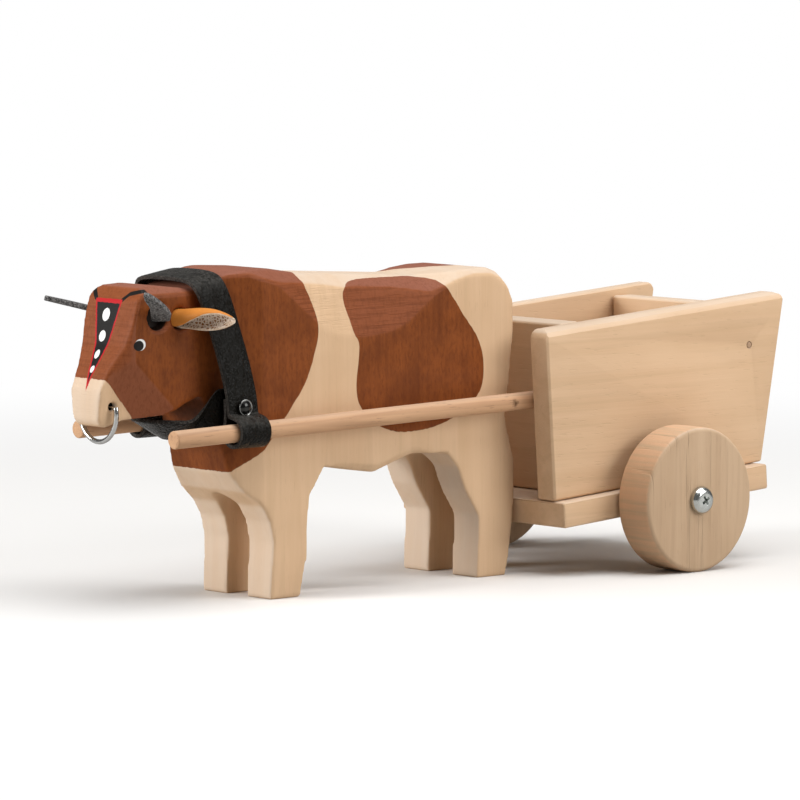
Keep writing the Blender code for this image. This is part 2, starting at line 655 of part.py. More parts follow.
def make_nose_ring():
    """Open wire ring whose turned-in ends swing in the nostrils."""
    hinge = bull_point(NOSTRIL_PLACE_SHARES[0], 0.0, NOSTRIL_PLACE_SHARES[1])
    wire = RING_WIRE / 2
    end = MUZZLE_WIDTH / 2 - NOSTRIL_DEPTH + RUNNING_CLEARANCE * 2
    start = math.asin(0.30)
    drop = RING_RADIUS * math.sin(start)
    steps = 22
    path = [Vector((0.0, end, 0.0)), Vector((0.0, RING_RADIUS * math.cos(start) - wire * 1.5, 0.0))]
    for i in range(1, steps):
        turn = start - (math.pi + 2 * start) * i / steps
        path.append(Vector((0.0, RING_RADIUS * math.cos(turn), RING_RADIUS * math.sin(turn) - drop)))
    path += [Vector((0.0, -point.y, 0.0)) for point in reversed(path[:2])]
    rings = []
    for i, point in enumerate(path):
        before, after = path[max(i - 1, 0)], path[min(i + 1, len(path) - 1)]
        line = (after - before).normalized()
        side = Vector((1.0, 0.0, 0.0))
        up = side.cross(line)
        rings.append([hinge + point + side * a + up * b for a, b in circle(wire, 10)])
    ring = new_object("nose_ring", loft(rings), "steel", hinge)
    smooth_round(ring)
    return ring


def loop_points(sign):
    """Teardrop of the strap round a shaft: matching outer and inner rows, in the front view."""
    steps = 16
    centre_y, centre_z = SHAFT_OUT, LOOP_HEIGHT
    inner = SHAFT_RADIUS + LOOP_CLEARANCE
    pinch_y, pinch_z = PINCH_OUT, PINCH_HEIGHT
    rows = []
    for i in range(steps + 1):
        turn = math.radians(70) - math.radians(295) * i / steps
        rows.append((math.cos(turn), math.sin(turn)))
    outer_row = [(pinch_y + STRAP_THICKNESS, pinch_z)]
    inner_row = [(pinch_y + STRAP_THICKNESS * 0.1, pinch_z - STRAP_THICKNESS * 0.3)]
    for c, s in rows:
        outer_row.append((centre_y + (inner + STRAP_THICKNESS) * c, centre_z + (inner + STRAP_THICKNESS) * s))
        inner_row.append((centre_y + inner * c, centre_z + inner * s))
    outer_row.append((pinch_y - STRAP_THICKNESS, pinch_z))
    inner_row.append((pinch_y - STRAP_THICKNESS * 0.1, pinch_z - STRAP_THICKNESS * 0.3))
    return [(sign * y, z) for y, z in outer_row], [(sign * y, z) for y, z in inner_row]


def band_rows():
    """Outer and inner rows of the band from the top of the neck down to the left pinch."""
    top, thick = STRAP_TOP, STRAP_THICKNESS
    neck, shoulder = HALF_WIDTH * 0.78, HALF_WIDTH * 0.93
    pinch_y, drop = PINCH_OUT, STRAP_TOP - STRAP_FLAT
    inner = [(0.0, top), (neck - thick, top), (neck + thick * 0.6, top - thick),
             (neck + thick * 1.4, top - drop * 0.16), (shoulder, top - drop * 0.47),
             (pinch_y - thick, STRAP_FLAT), (pinch_y - thick, PINCH_HEIGHT)]
    outer = [(0.0, top + thick), (neck - thick, top + thick), (neck + thick * 1.4, top),
             (neck + thick * 2.4, top - drop * 0.14), (shoulder + thick, top - drop * 0.47),
             (pinch_y + thick, STRAP_FLAT), (pinch_y + thick, PINCH_HEIGHT)]
    return outer, inner


def strap_place(y, z, end):
    """A point of the strap: it is upright at the loops, curves forward to the neck and lies on its slope."""
    rise = max((z - LOOP_HEIGHT) / (STRAP_TOP - LOOP_HEIGHT), 0.0) ** 2
    ahead = (end - 0.5) * STRAP_WIDTH
    return Vector((LOOP_AHEAD + STRAP_TOP_REACH * rise + ahead, y, z - NECK_SLOPE * ahead * rise ** 2))


def strap_solid(name, quads):
    """Give a flat patchwork of quads in the front view the width of the strap."""
    bm = bmesh.new()
    made = {}

    def corner(y, z, end):
        key = (round(y / RUNNING_CLEARANCE, 2), round(z / RUNNING_CLEARANCE, 2), end)
        if key not in made:
            made[key] = bm.verts.new(strap_place(y, z, end))
        return made[key]

    edges = {}
    for quad in quads:
        for end in (0, 1):
            face = [corner(y, z, end) for y, z in quad]
            bm.faces.new(face if end else face[::-1])
        for a, b in zip(quad, quad[1:] + quad[:1]):
            key = frozenset((corner(*a, 0), corner(*b, 0)))
            edges.setdefault(key, []).append((a, b))
    for uses in edges.values():
        if len(uses) == 1:
            a, b = uses[0]
            bm.faces.new((corner(*a, 0), corner(*b, 0), corner(*b, 1), corner(*a, 1)))
    return new_object(name, bm, "black_leather")


def make_neck_strap():
    """One band over the neck that ends in a riveted loop round each shaft."""
    outer, inner = band_rows()
    quads = []
    for sign in SIDES.values():
        for i in range(len(outer) - 1):
            quad = [outer[i], outer[i + 1], inner[i + 1], inner[i]]
            quads.append([(sign * y, z) for y, z in quad])
        out_row, in_row = loop_points(sign)
        for i in range(len(out_row) - 1):
            quads.append([out_row[i], out_row[i + 1], in_row[i + 1], in_row[i]])
        quads.append([out_row[-1], out_row[0], in_row[0], in_row[-1]])
    return strap_solid("neck_strap", quads)


def make_studs():
    """Domed rivets that close the loops above the shafts."""
    made = []
    x, z = strap_place(0.0, STUD_LEVEL, 0.5).xz
    head = STUD_DIAMETER / 2
    for side, sign in SIDES.items():
        base = PINCH_OUT + STRAP_THICKNESS + SEAT_GAP
        profile = ((head, base), (head, base + STUD_HEIGHT * 0.3), (head * 0.8, base + STUD_HEIGHT * 0.75),
                   (head * 0.35, base + STUD_HEIGHT))
        stud = new_object("stud_" + side, revolve([(r, sign * y) for r, y in profile], (x, 0.0, z),
                                                  SMALL_CIRCLE_STEPS), "dark_steel")
        smooth_round(stud)
        made.append(stud)
    return made


def make_chest_strap():
    """Strap that loops forward under the jaw from inside one end of the neck strap to the other."""
    radius = CHEST_STRAP_RADIUS
    start_x = LOOP_AHEAD - STRAP_WIDTH * 0.1
    centre_x = LOOP_AHEAD + STRAP_WIDTH * 0.52
    end_y = HALF_WIDTH - STRAP_THICKNESS * 0.8
    rear_top = STUD_LEVEL + STRAP_WIDTH / 2
    front_top = BULL_HEIGHT * JAW_UNDERSIDE_SHARE - JAW_CLEARANCE
    steps = 20
    path = [(start_x, end_y)]
    path += [(centre_x + radius * math.sin(i * math.pi / steps), radius * math.cos(i * math.pi / steps))
             for i in range(steps + 1)]
    path += [(start_x, -end_y)]
    rings = []
    for i, (x, y) in enumerate(path):
        before, after = path[max(i - 1, 0)], path[min(i + 1, len(path) - 1)]
        line = Vector((after[0] - before[0], after[1] - before[1], 0.0)).normalized()
        forward = max((x - centre_x) / radius, 0.0)
        fallen = eased(min(forward / 0.6, 1.0))
        top = rear_top + (front_top - rear_top) * fallen
        tilt = CHEST_STRAP_TILT * fallen
        out, up = Vector((-line.y, line.x, 0.0)), Vector((0.0, 0.0, 1.0))
        down = -up * math.cos(tilt) - out * math.sin(tilt)
        face = (out * math.cos(tilt) - up * math.sin(tilt)) * STRAP_THICKNESS
        high = Vector((x, y, top))
        low = high + down * STRAP_WIDTH
        rings.append([high, high + face, low + face, low])
    return new_object("chest_strap", loft(rings), "black_leather")


def eased(share):
    """A share that starts and ends gently."""
    return share * share * (3 - 2 * share)


def centre_on_floor(things):
    """Put the origin under the middle of the whole part's length."""
    reach = [(thing.matrix_world @ vertex.co).x for thing in things for vertex in thing.data.vertices]
    middle = (min(reach) + max(reach)) / 2
    for thing in things:
        thing.location.x -= middle
    return middle


def main():
    """Build every piece of the toy."""
    clear_scene()
    bull = carve_bull()
    drill_head(bull)
    clean_cuts(bull)
    things = [bull, make_nose_ring(), make_neck_strap(), make_chest_strap()]
    things += make_horns() + make_ears() + make_studs()
    things += make_floor() + make_panels() + make_headboard() + make_tailboard()
    things += make_wheels() + make_shafts()
    bpy.context.view_layer.update()
    middle = centre_on_floor(things)
    print("shift of the origin ahead of the axle", middle)


main()
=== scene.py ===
"""Visual model of a wooden toy bullock cart, dressed over its CAD frame.

Metres, +Z up, +X the way the bullock walks, +Y its left side.
"""

import json
import logging
import math
from contextlib import contextmanager
from dataclasses import dataclass
from enum import Enum
from functools import partialmethod
from typing import Callable, Iterator, Optional, Sequence

import bmesh
import bpy
import numpy as np
from mathutils import Matrix, Vector


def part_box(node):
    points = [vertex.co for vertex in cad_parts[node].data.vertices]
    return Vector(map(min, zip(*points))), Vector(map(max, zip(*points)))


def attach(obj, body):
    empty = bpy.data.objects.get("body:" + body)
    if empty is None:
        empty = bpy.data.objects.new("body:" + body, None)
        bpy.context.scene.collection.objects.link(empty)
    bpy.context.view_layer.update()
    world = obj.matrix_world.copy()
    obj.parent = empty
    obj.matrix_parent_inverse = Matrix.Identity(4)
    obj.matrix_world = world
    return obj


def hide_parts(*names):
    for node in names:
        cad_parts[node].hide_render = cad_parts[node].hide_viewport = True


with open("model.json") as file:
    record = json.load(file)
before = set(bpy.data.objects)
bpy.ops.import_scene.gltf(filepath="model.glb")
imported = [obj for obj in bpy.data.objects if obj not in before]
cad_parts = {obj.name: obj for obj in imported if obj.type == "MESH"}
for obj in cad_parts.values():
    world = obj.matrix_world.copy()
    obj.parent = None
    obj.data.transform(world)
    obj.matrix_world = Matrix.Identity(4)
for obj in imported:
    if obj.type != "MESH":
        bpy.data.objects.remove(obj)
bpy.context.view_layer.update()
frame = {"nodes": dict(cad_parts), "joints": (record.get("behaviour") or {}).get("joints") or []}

LOG = logging.getLogger("toy_bullock_cart")
MERGE = 0.00001
Triple = tuple[float, float, float]
Points = tuple[tuple[float, float], ...]


class Side(Enum):
    """The two sides of the toy, with the sign of their Y."""

    LEFT = 1.0
    RIGHT = -1.0

    @property
    def word(self) -> str:
        """The side's word in the names of nodes."""
        return self.name.lower()


class Grain(Enum):
    """The way the fibres of a wooden piece run."""

    ALONG = 0
    ACROSS = 1
    UPRIGHT = 2


def darker(colour: Triple, share: float) -> Triple:
    """A share of a colour's light."""
    return tuple(c * share for c in colour)


def joint_place(name: str) -> Vector:
    """Where the frame has a joint."""
    return Vector(next(j for j in frame["joints"] if j["name"] == name)["pos_m"])


class Signal:
    """A shader value that can be used in plain arithmetic."""

    def __init__(self, graph: "Graph", socket: bpy.types.NodeSocket) -> None:
        """Wrap one output socket of a graph."""
        self.graph = graph
        self.socket = socket

    def _math(self, operation: str, *others: "Signal | float", swap: bool = False) -> "Signal":
        """Add one Math node.

        Args:
            operation: The node's operation.
            others: The values after this one.
            swap: Whether this value comes second.

        Returns:
            The node's result.
        """
        values = [self, *others]
        if swap:
            values.reverse()
        node = self.graph.node("ShaderNodeMath", {"operation": operation}, dict(enumerate(values)))
        return Signal(self.graph, node.outputs[0])

    # Each operator is one Math node
    __add__ = __radd__ = partialmethod(_math, "ADD")
    __sub__ = partialmethod(_math, "SUBTRACT")
    __rsub__ = partialmethod(_math, "SUBTRACT", swap=True)
    __mul__ = __rmul__ = partialmethod(_math, "MULTIPLY")
    __truediv__ = partialmethod(_math, "DIVIDE")
    __abs__ = partialmethod(_math, "ABSOLUTE")
    __pow__ = partialmethod(_math, "POWER")
    least = partialmethod(_math, "MINIMUM")
    most = partialmethod(_math, "MAXIMUM")

    def fade(self, low: float, high: float, start: float = 0.0, end: float = 1.0) -> "Signal":
        """Go smoothly from start to end as the value goes from low to high.

        Args:
            low: Value where the change begins.
            high: Value where it is complete.
            start: Result at low.
            end: Result at high.

        Returns:
            The eased value.
        """
        node = self.graph.node("ShaderNodeMapRange", {"interpolation_type": "SMOOTHSTEP"},
                               {0: self, 1: low, 2: high, 3: start, 4: end})
        return Signal(self.graph, node.outputs[0])


class Graph:
    """The nodes of one material."""

    def __init__(self, name: str) -> None:
        """Start a material with its Principled shader.

        Args:
            name: The material's name.
        """
        self.material = bpy.data.materials.new(name)
        self.material.use_nodes = True
        self.tree = self.material.node_tree
        self.shader = self.tree.nodes["Principled BSDF"]

    def node(self, kind: str, settings: dict, inputs: dict) -> bpy.types.Node:
        """Add any node.

        Args:
            kind: Blender's name of the node type.
            settings: The node's own properties, set first.
            inputs: Values, signals or sockets, by the input's name or number.

        Returns:
            The new node.
        """
        made = self.tree.nodes.new(kind)
        for key, value in settings.items():
            setattr(made, key, value)
        for key, value in inputs.items():
            self.feed(made.inputs[key], value)
        return made

    def feed(self, socket: bpy.types.NodeSocket, value: object) -> None:
        """Link a signal or a socket to an input, or set the input's own value.

        Args:
            socket: The input.
            value: The signal, socket, number or colour.
        """
        if isinstance(value, Signal):
            value = value.socket
        if isinstance(value, bpy.types.NodeSocket):
            self.tree.links.new(value, socket)
        elif socket.type == "RGBA" and len(value) == 3:
            socket.default_value = (*value, 1.0)
        else:
            socket.default_value = value

    def place(self) -> bpy.types.NodeSocket:
        """The point on the piece in its own coordinates."""
        return self.node("ShaderNodeTexCoord", {}, {}).outputs["Object"]

    def axes(self, vector: bpy.types.NodeSocket) -> tuple[Signal, Signal, Signal]:
        """The three parts of a vector."""
        node = self.node("ShaderNodeSeparateXYZ", {}, {0: vector})
        return tuple(Signal(self, out) for out in node.outputs)

    def facing(self) -> tuple[Signal, Signal, Signal]:
        """How far the surface faces along each axis."""
        return self.axes(self.node("ShaderNodeNewGeometry", {}, {}).outputs["Normal"])

    def attribute(self, name: str) -> Signal:
        """A number stored on the mesh."""
        return Signal(self, self.node("ShaderNodeAttribute", {"attribute_name": name}, {}).outputs["Fac"])

    def stretch(self, vector: bpy.types.NodeSocket, scale: Sequence[float],
                turn: Triple = (0.0, 0.0, 0.0)) -> bpy.types.NodeSocket:
        """Turn and scale coordinates, so that a pattern on them is drawn out."""
        return self.node("ShaderNodeMapping", {},
                         {"Vector": vector, "Rotation": turn, "Scale": scale}).outputs[0]

    def noise(self, vector: bpy.types.NodeSocket, scale: float, detail: float = 2.0,
              roughness: float = 0.5, distortion: float = 0.0) -> Signal:
        """Cloudy noise about a half.

        Args:
            vector: The coordinates.
            scale: Clouds in a metre.
            detail: Finer layers.
            roughness: Weight of the finer layers.
            distortion: How much it is swirled.

        Returns:
            The noise.
        """
        node = self.node("ShaderNodeTexNoise", {}, {"Vector": vector, "Scale": scale, "Detail": detail,
                                                    "Roughness": roughness, "Distortion": distortion})
        return Signal(self, node.outputs[0])

    def cells(self, vector: bpy.types.NodeSocket, scale: float, feature: str = "F1") -> Signal:
        """Distance in a pattern of cells, so many to a metre."""
        node = self.node("ShaderNodeTexVoronoi", {"feature": feature}, {"Vector": vector, "Scale": scale})
        return Signal(self, node.outputs["Distance"])

    def mix(self, factor: Signal | float, first: object, second: object) -> bpy.types.NodeSocket:
        """Blend two colours."""
        return self.node("ShaderNodeMix", {"data_type": "RGBA"}, {0: factor, 6: first, 7: second}).outputs[2]

    def bump(self, height: Signal, depth: float,
             below: Optional[bpy.types.NodeSocket] = None) -> bpy.types.NodeSocket:
        """Raise the surface by a signal.

        Args:
            height: The signal.
            depth: Metres that it rises where the signal is 1.
            below: Direction of a surface that this one lies on.

        Returns:
            The surface's direction.
        """
        inputs = {"Height": height, "Distance": depth, "Strength": 1.0}
        if below is not None:
            inputs["Normal"] = below
        return self.node("ShaderNodeBump", {}, inputs).outputs[0]

    def finish(self, colour: object, rough: Signal | float, gloss: float = 0.5, metallic: float = 0.0,
               normal: Optional[bpy.types.NodeSocket] = None) -> bpy.types.Material:
        """Feed the Principled shader.

        Args:
            colour: Base colour.
            rough: Roughness.
            gloss: Specular level.
            metallic: 1 for bare metal.
            normal: The surface's direction.

        Returns:
            The material.
        """
        inputs = {"Base Color": colour, "Roughness": rough, "Specular IOR Level": gloss, "Metallic": metallic}
        if normal is not None:
            inputs["Normal"] = normal
        for key, value in inputs.items():
            self.feed(self.shader.inputs[key], value)
        return self.material


@dataclass(frozen=True)
class WoodFinish:
    """Sanded bare wood with fine fibres, darker growth lines and small pores, and a painted sheen where it
    faces up or forward.
    """

    name: str
    pale: Triple = (0.70, 0.482, 0.302)
    dark: Triple = (0.61, 0.402, 0.238)
    grain: Grain = Grain.ALONG
    lines: float = 0.16
    pores: float = 0.14
    # Painted sheen: a paler, greyer colour on faces that point up or forward, for the light that falls on
    # them
    painted_sheen_colour: Triple = (0.64, 0.530, 0.430)
    painted_sheen_up: float = 0.8
    painted_sheen_front: float = 0.0
    gloss: float = 0.2
    rough: float = 0.58
    turn: Triple = (0.0, 0.0, 0.0)
    relief: float = 0.00010
    # How fine each pattern is, and how far it is drawn out along the grain
    fibre: float = 900.0
    band: float = 130.0
    cloud: float = 45.0
    ring: float = 260.0
    pore: float = 1900.0
    drawn_out: float = 0.045
    pore_shortened: float = 2.2

    def fibres(self, graph: Graph) -> tuple[bpy.types.NodeSocket, Signal, Signal]:
        """Draw the wood itself.

        Args:
            graph: The material to draw in.

        Returns:
            Colour, height of the fibres and roughness.
        """
        scale = [1.0, 1.0, 1.0]
        scale[self.grain.value] = self.drawn_out
        drawn = graph.stretch(graph.place(), scale, self.turn)
        fine = graph.noise(drawn, self.fibre, 4.0, 0.65)
        broad = graph.noise(drawn, self.band, 3.0, 0.55, 0.6)
        cloud = graph.noise(graph.place(), self.cloud)
        rings = graph.noise(drawn, self.ring, 1.0, 0.4, 1.2).fade(0.55, 0.68)
        tone = (broad.fade(0.30, 0.70) * 0.55 + cloud.fade(0.3, 0.7) * 0.25 + fine * 0.30) * 0.9
        colour = graph.mix(tone, self.pale, self.dark)
        colour = graph.mix(rings * self.lines, colour, darker(self.dark, 0.80))
        scale[self.grain.value] *= self.pore_shortened
        specks = graph.noise(graph.stretch(graph.place(), scale, self.turn), self.pore, 1.0).fade(0.66, 0.74)
        colour = graph.mix(specks * self.pores, colour, darker(self.dark, 0.62))
        ahead, _, up = graph.facing()
        # Painted sheen: faces pointing up or forward are blended towards the paler colour
        painted_sheen = (up.fade(0.4, 0.95) * self.painted_sheen_up).most(ahead.fade(0.5, 0.95) * self.painted_sheen_front)
        colour = graph.mix(painted_sheen, colour, graph.mix(tone * 0.5, self.painted_sheen_colour, colour))
        height = fine * 0.7 + broad * 0.3 - specks * 0.35
        return colour, height, fine.fade(0.2, 0.8, self.rough - 0.05, self.rough + 0.07)

    def material(self) -> bpy.types.Material:
        """Build the finish.

        Returns:
            The material.
        """
        graph = Graph(self.name)
        colour, height, rough = self.fibres(graph)
        return graph.finish(colour, rough, self.gloss, normal=graph.bump(height, self.relief))


@dataclass(frozen=True)
class SawnFinish(WoodFinish):
    """Wheel wood: straight saw cuts up and down the faces with painted shade in their grooves, and end grain
    round the rim.
    """

    relief: float = 0.00012
    rim: Triple = (0.70, 0.42, 0.245)
    # Painted shade: how dark the saw grooves are drawn
    groove_shade: float = 0.22
    saw: float = 620.0
    saw_lean: float = 0.05
    end_grain: float = 420.0

    def material(self) -> bpy.types.Material:
        """Build the finish.

        Returns:
            The material.
        """
        graph = Graph(self.name)
        colour, height, rough = self.fibres(graph)
        upright = graph.stretch(graph.place(), (1.0, 0.03, 0.02), (0.0, self.saw_lean, 0.0))
        groove = graph.noise(upright, self.saw, 3.0, 0.7).fade(0.42, 0.30)
        tread = abs(graph.facing()[1]).fade(0.8, 0.3)
        across = graph.noise(graph.stretch(graph.place(), (1.0, 0.05, 1.0)), self.end_grain, 3.0, 0.6)
        rim = graph.mix(across.fade(0.35, 0.7), self.rim, darker(self.dark, 1.2))
        # Painted shade in the saw grooves
        colour = graph.mix(groove * self.groove_shade, colour, darker(self.dark, 0.62))
        colour = graph.mix(tread * 0.8, colour, rim)
        return graph.finish(colour, rough, self.gloss, normal=graph.bump(height - groove * 1.4, self.relief))


@dataclass(frozen=True)
class LeatherFinish:
    """Leather: pebbled grain with creases and a soft sheen, and a painted sheen on the pebble tops where it
    faces up.
    """

    name: str
    colour: Triple
    worn: Triple
    pebble: float = 1150.0
    depth: float = 0.00036
    rough: float = 0.22
    gloss: float = 0.08
    # Painted sheen: how much, and how pale, the pebble tops that face up are drawn
    top_sheen: float = 0.0
    top_sheen_colour: Triple = (0.060, 0.056, 0.050)
    bend: float = 420.0
    crease: float = 260.0
    wear: float = 90.0

    def material(self) -> bpy.types.Material:
        """Build the finish.

        Returns:
            The material.
        """
        graph = Graph(self.name)
        place = graph.place()
        bent = graph.noise(place, self.bend)
        pebbles = graph.cells(place, self.pebble, "SMOOTH_F1")
        small = graph.cells(place, self.pebble * 2.1)
        drawn = graph.stretch(place, (1.0, 1.0, 0.35))
        creases = graph.noise(drawn, self.crease, 3.0, 0.6, 0.8).fade(0.52, 0.62)
        worn = graph.noise(place, self.wear, 4.0, 0.6).fade(0.50, 0.75)
        colour = graph.mix(worn * 0.4, self.colour, self.worn)
        up = graph.facing()[2]
        pebble_tops = (1.0 - pebbles * 1.1).most(0.0) * (1.0 - creases * 0.6)
        # Painted sheen on the pebble tops that face up
        colour = graph.mix(up.fade(0.15, 0.75) * pebble_tops * self.top_sheen, colour, self.top_sheen_colour)
        height = 1.0 - pebbles * 0.9 - small * 0.3 + bent * 0.5 - creases * 0.5
        rough = worn * 0.12 + pebbles * 0.10 + (self.rough - 0.05)
        return graph.finish(colour, rough, self.gloss, normal=graph.bump(height, self.depth))


@dataclass(frozen=True)
class FibreFinish:
    """Bare leather fibres or wood filler: a cut edge or a rough side."""

    name: str
    colour: Triple
    deep: Triple
    scale: float = 1500.0
    depth: float = 0.00030

    def material(self) -> bpy.types.Material:
        """Build the finish.

        Returns:
            The material.
        """
        graph = Graph(self.name)
        place = graph.place()
        tangle = graph.noise(place, self.scale, 4.0, 0.7, 0.5)
        tufts = graph.cells(place, self.scale * 0.55)
        tone = tangle.fade(0.35, 0.65) * 0.6 + tufts.fade(0.1, 0.7) * 0.4
        colour = graph.mix(tone, self.colour, self.deep)
        return graph.finish(colour, 0.9, 0.1, normal=graph.bump(tangle - tufts * 0.5, self.depth))


@dataclass(frozen=True)
class NetFinish:
    """Loose pale fibres in a net over darker leather."""

    name: str
    strand: Triple
    gap: Triple
    scale: float = 880.0
    depth: float = 0.0003

    def material(self) -> bpy.types.Material:
        """Build the finish.

        Returns:
            The material.
        """
        graph = Graph(self.name)
        place = graph.place()
        net = graph.cells(place, self.scale, "DISTANCE_TO_EDGE").fade(0.26, 0.10)
        fuzz = graph.noise(place, self.scale * 2.5, 3.0, 0.7)
        tone = (net * 0.85 + fuzz.fade(0.5, 0.75) * 0.4).least(1.0)
        colour = graph.mix(tone, self.gap, self.strand)
        return graph.finish(colour, 0.95, 0.1, normal=graph.bump(tone + fuzz * 0.4, self.depth))


@dataclass(frozen=True)
class SteelFinish:
    """Bright or dark steel with fine scratches."""

    name: str
    colour: Triple
    rough: float
    scratches: float = 0.10
    haze: float = 700.0
    scratch: float = 2600.0
    depth: float = 0.00001

    def material(self) -> bpy.types.Material:
        """Build the finish.

        Returns:
            The material.
        """
        graph = Graph(self.name)
        place = graph.place()
        haze = graph.noise(place, self.haze, 3.0)
        lines = graph.noise(graph.stretch(place, (1.0, 1.0, 0.08), (0.4, 0.2, 0.1)), self.scratch)
        rough = haze * self.scratches + lines * self.scratches + (self.rough - self.scratches)
        colour = graph.mix(haze.fade(0.4, 0.8), self.colour, darker(self.colour, 0.86))
        return graph.finish(colour, rough, metallic=1.0, normal=graph.bump(lines, self.depth))


@dataclass(frozen=True)
class Brushmark:
    """A place on the side or the front of the head, in metres."""

    first: float
    second: float
    half_width: float = 0.0
    half_height: float = 0.0

    def to(self, end: "Brushmark") -> tuple[float, float]:
        """The step from this place to another."""
        return end.first - self.first, end.second - self.second


@dataclass(frozen=True)
class CarvedFinish(WoodFinish):
    """The bullock's wood: bare maple, brown stain in patches, the painted ornament and eyes, painted sheen on
    fronts and tops, and painted shade in the bores.
    """

    # Painted sheen on the bullock's tops and fronts
    painted_sheen_up: float = 0.9
    painted_sheen_front: float = 0.8
    gloss: float = 0.12
    relief: float = 0.00012
    stain: Triple = (0.240, 0.063, 0.0120)
    stain_dark: Triple = (0.105, 0.024, 0.0045)
    # Painted sheen: paler stains for the head's fronts, its slanting facets and the tops
    stain_sheen_front: Triple = (0.252, 0.073, 0.030)
    stain_sheen_facet: Triple = (0.245, 0.080, 0.037)
    stain_sheen_top: Triple = (0.280, 0.112, 0.076)
    # Painted shade: near black inside the horn bores and the nostril bores
    hollow: Triple = (0.018, 0.010, 0.006)
    red: Triple = (0.46, 0.014, 0.018)
    black: Triple = (0.012, 0.011, 0.010)
    white: Triple = (0.86, 0.86, 0.84)
    crest_left: Brushmark = Brushmark(0.0049, 0.1017)
    crest_right: Brushmark = Brushmark(-0.0087, 0.1017)
    crest_tip: Brushmark = Brushmark(0.0002, 0.0722)
    crest_border: float = 0.0006
    crest_top_border: float = 0.0013
    ovals: tuple[Brushmark, ...] = (
        Brushmark(-0.0018, 0.0966, 0.0018, 0.0021), Brushmark(-0.0015, 0.0897, 0.0016, 0.0018),
        Brushmark(-0.0010, 0.0839, 0.0011, 0.0014), Brushmark(-0.0003, 0.0792, 0.0009, 0.0011))
    strokes: tuple[tuple[Brushmark, Brushmark], ...] = (
        (Brushmark(0.0049, 0.1017), Brushmark(0.0070, 0.1036)),
        (Brushmark(0.0070, 0.1036), Brushmark(0.0120, 0.1047)),
        (Brushmark(-0.0087, 0.1017), Brushmark(-0.0124, 0.1047)))
    stroke_half: float = 0.00070
    brow_from: float = 0.1262
    brow_fade: float = 0.0005
    head_from: tuple[float, float] = (0.110, 0.112)
    cheek_from: tuple[float, float] = (0.0085, 0.0095)
    eye: Brushmark = Brushmark(0.1307, 0.0871, 0.0020, 0.0017)
    eye_glint: Brushmark = Brushmark(0.1301, 0.0874, 0.0022, 0.0019)
    edge: float = 0.00012
    paint_rough: float = 0.42
    # How fine each pattern is, and how far the drawn edges stray
    streak: float = 520.0
    blotch: float = 95.0
    fleck: float = 1050.0
    saw: float = 1100.0
    bleed: float = 700.0
    bleed_reach: float = 0.0007
    wobble: float = 900.0
    wobble_reach: float = 0.0004
    knife: float = 85.0
    knife_relief: float = 0.0006

    def oval(self, a: Signal, b: Signal, mark: Brushmark) -> Signal:
        """A soft-edged ellipse.

        Args:
            a: First coordinate.
            b: Second coordinate.
            mark: Its centre and half sizes.

        Returns:
            1 inside and 0 outside.
        """
        across = (a - mark.first) / mark.half_width
        up = (b - mark.second) / mark.half_height
        soft = self.edge / mark.half_width
        return ((across * across + up * up) ** 0.5).fade(1.0 + soft, 1.0 - soft)

    def stroke(self, y: Signal, z: Signal, start: Brushmark, end: Brushmark) -> Signal:
        """A brush line between two places on the brow.

        Args:
            y: Place across the toy.
            z: Height.
            start: One end.
            end: Other end.

        Returns:
            1 on the line and 0 beside it.
        """
        dy, dz = start.to(end)
        along = ((y - start.first) * dy + (z - start.second) * dz) / (dy * dy + dz * dz)
        along = along.most(0.0).least(1.0)
        off_y = y - start.first - along * dy
        off_z = z - start.second - along * dz
        away = (off_y * off_y + off_z * off_z) ** 0.5
        return away.fade(self.stroke_half + self.edge, self.stroke_half - self.edge)

    def side_of(self, y: Signal, z: Signal, start: Brushmark, end: Brushmark) -> Signal:
        """Distance to the left of the line from start to end, in the front view."""
        dy, dz = start.to(end)
        return ((z - start.second) * dy - (y - start.first) * dz) / math.hypot(dy, dz)

    def material(self) -> bpy.types.Material:
        """Build the finish.

        Returns:
            The material.
        """
        graph = Graph(self.name)
        wood, height, rough = self.fibres(graph)
        place = graph.place()
        x, y, z = graph.axes(place)
        ahead, _, up = graph.facing()
        drawn = graph.stretch(place, (1.0, 1.0, 0.05))
        streaks = graph.noise(drawn, self.streak, 4.0, 0.65)
        blotches = graph.noise(place, self.blotch, 3.0, 0.6)
        flecks = graph.noise(graph.stretch(place, (1.0, 1.0, 0.35)), self.fleck, 3.0, 0.65).fade(0.46, 0.66)
        saw = graph.noise(graph.stretch(place, (0.04, 0.04, 1.0)), self.saw, 3.0, 0.7, 0.5).fade(0.45, 0.65)
        # Faces of the head that point forward, and faces that point up: these get the painted sheen
        cut = (ahead.fade(0.10, 0.25) * x.fade(*self.head_from)).most(up.fade(0.08, 0.16))
        sawn = up.fade(0.0, 0.1).most(ahead.fade(0.5, 0.6))
        scooped = cut * sawn * up.fade(0.75, 0.45) * ahead.fade(0.95, 0.45, 0.65, 1.0)
        sawn_marks = saw * scooped
        stain = graph.mix(streaks.fade(0.3, 0.72) * 0.30 + blotches.fade(0.35, 0.70) * 0.40,
                          self.stain, self.stain_dark)
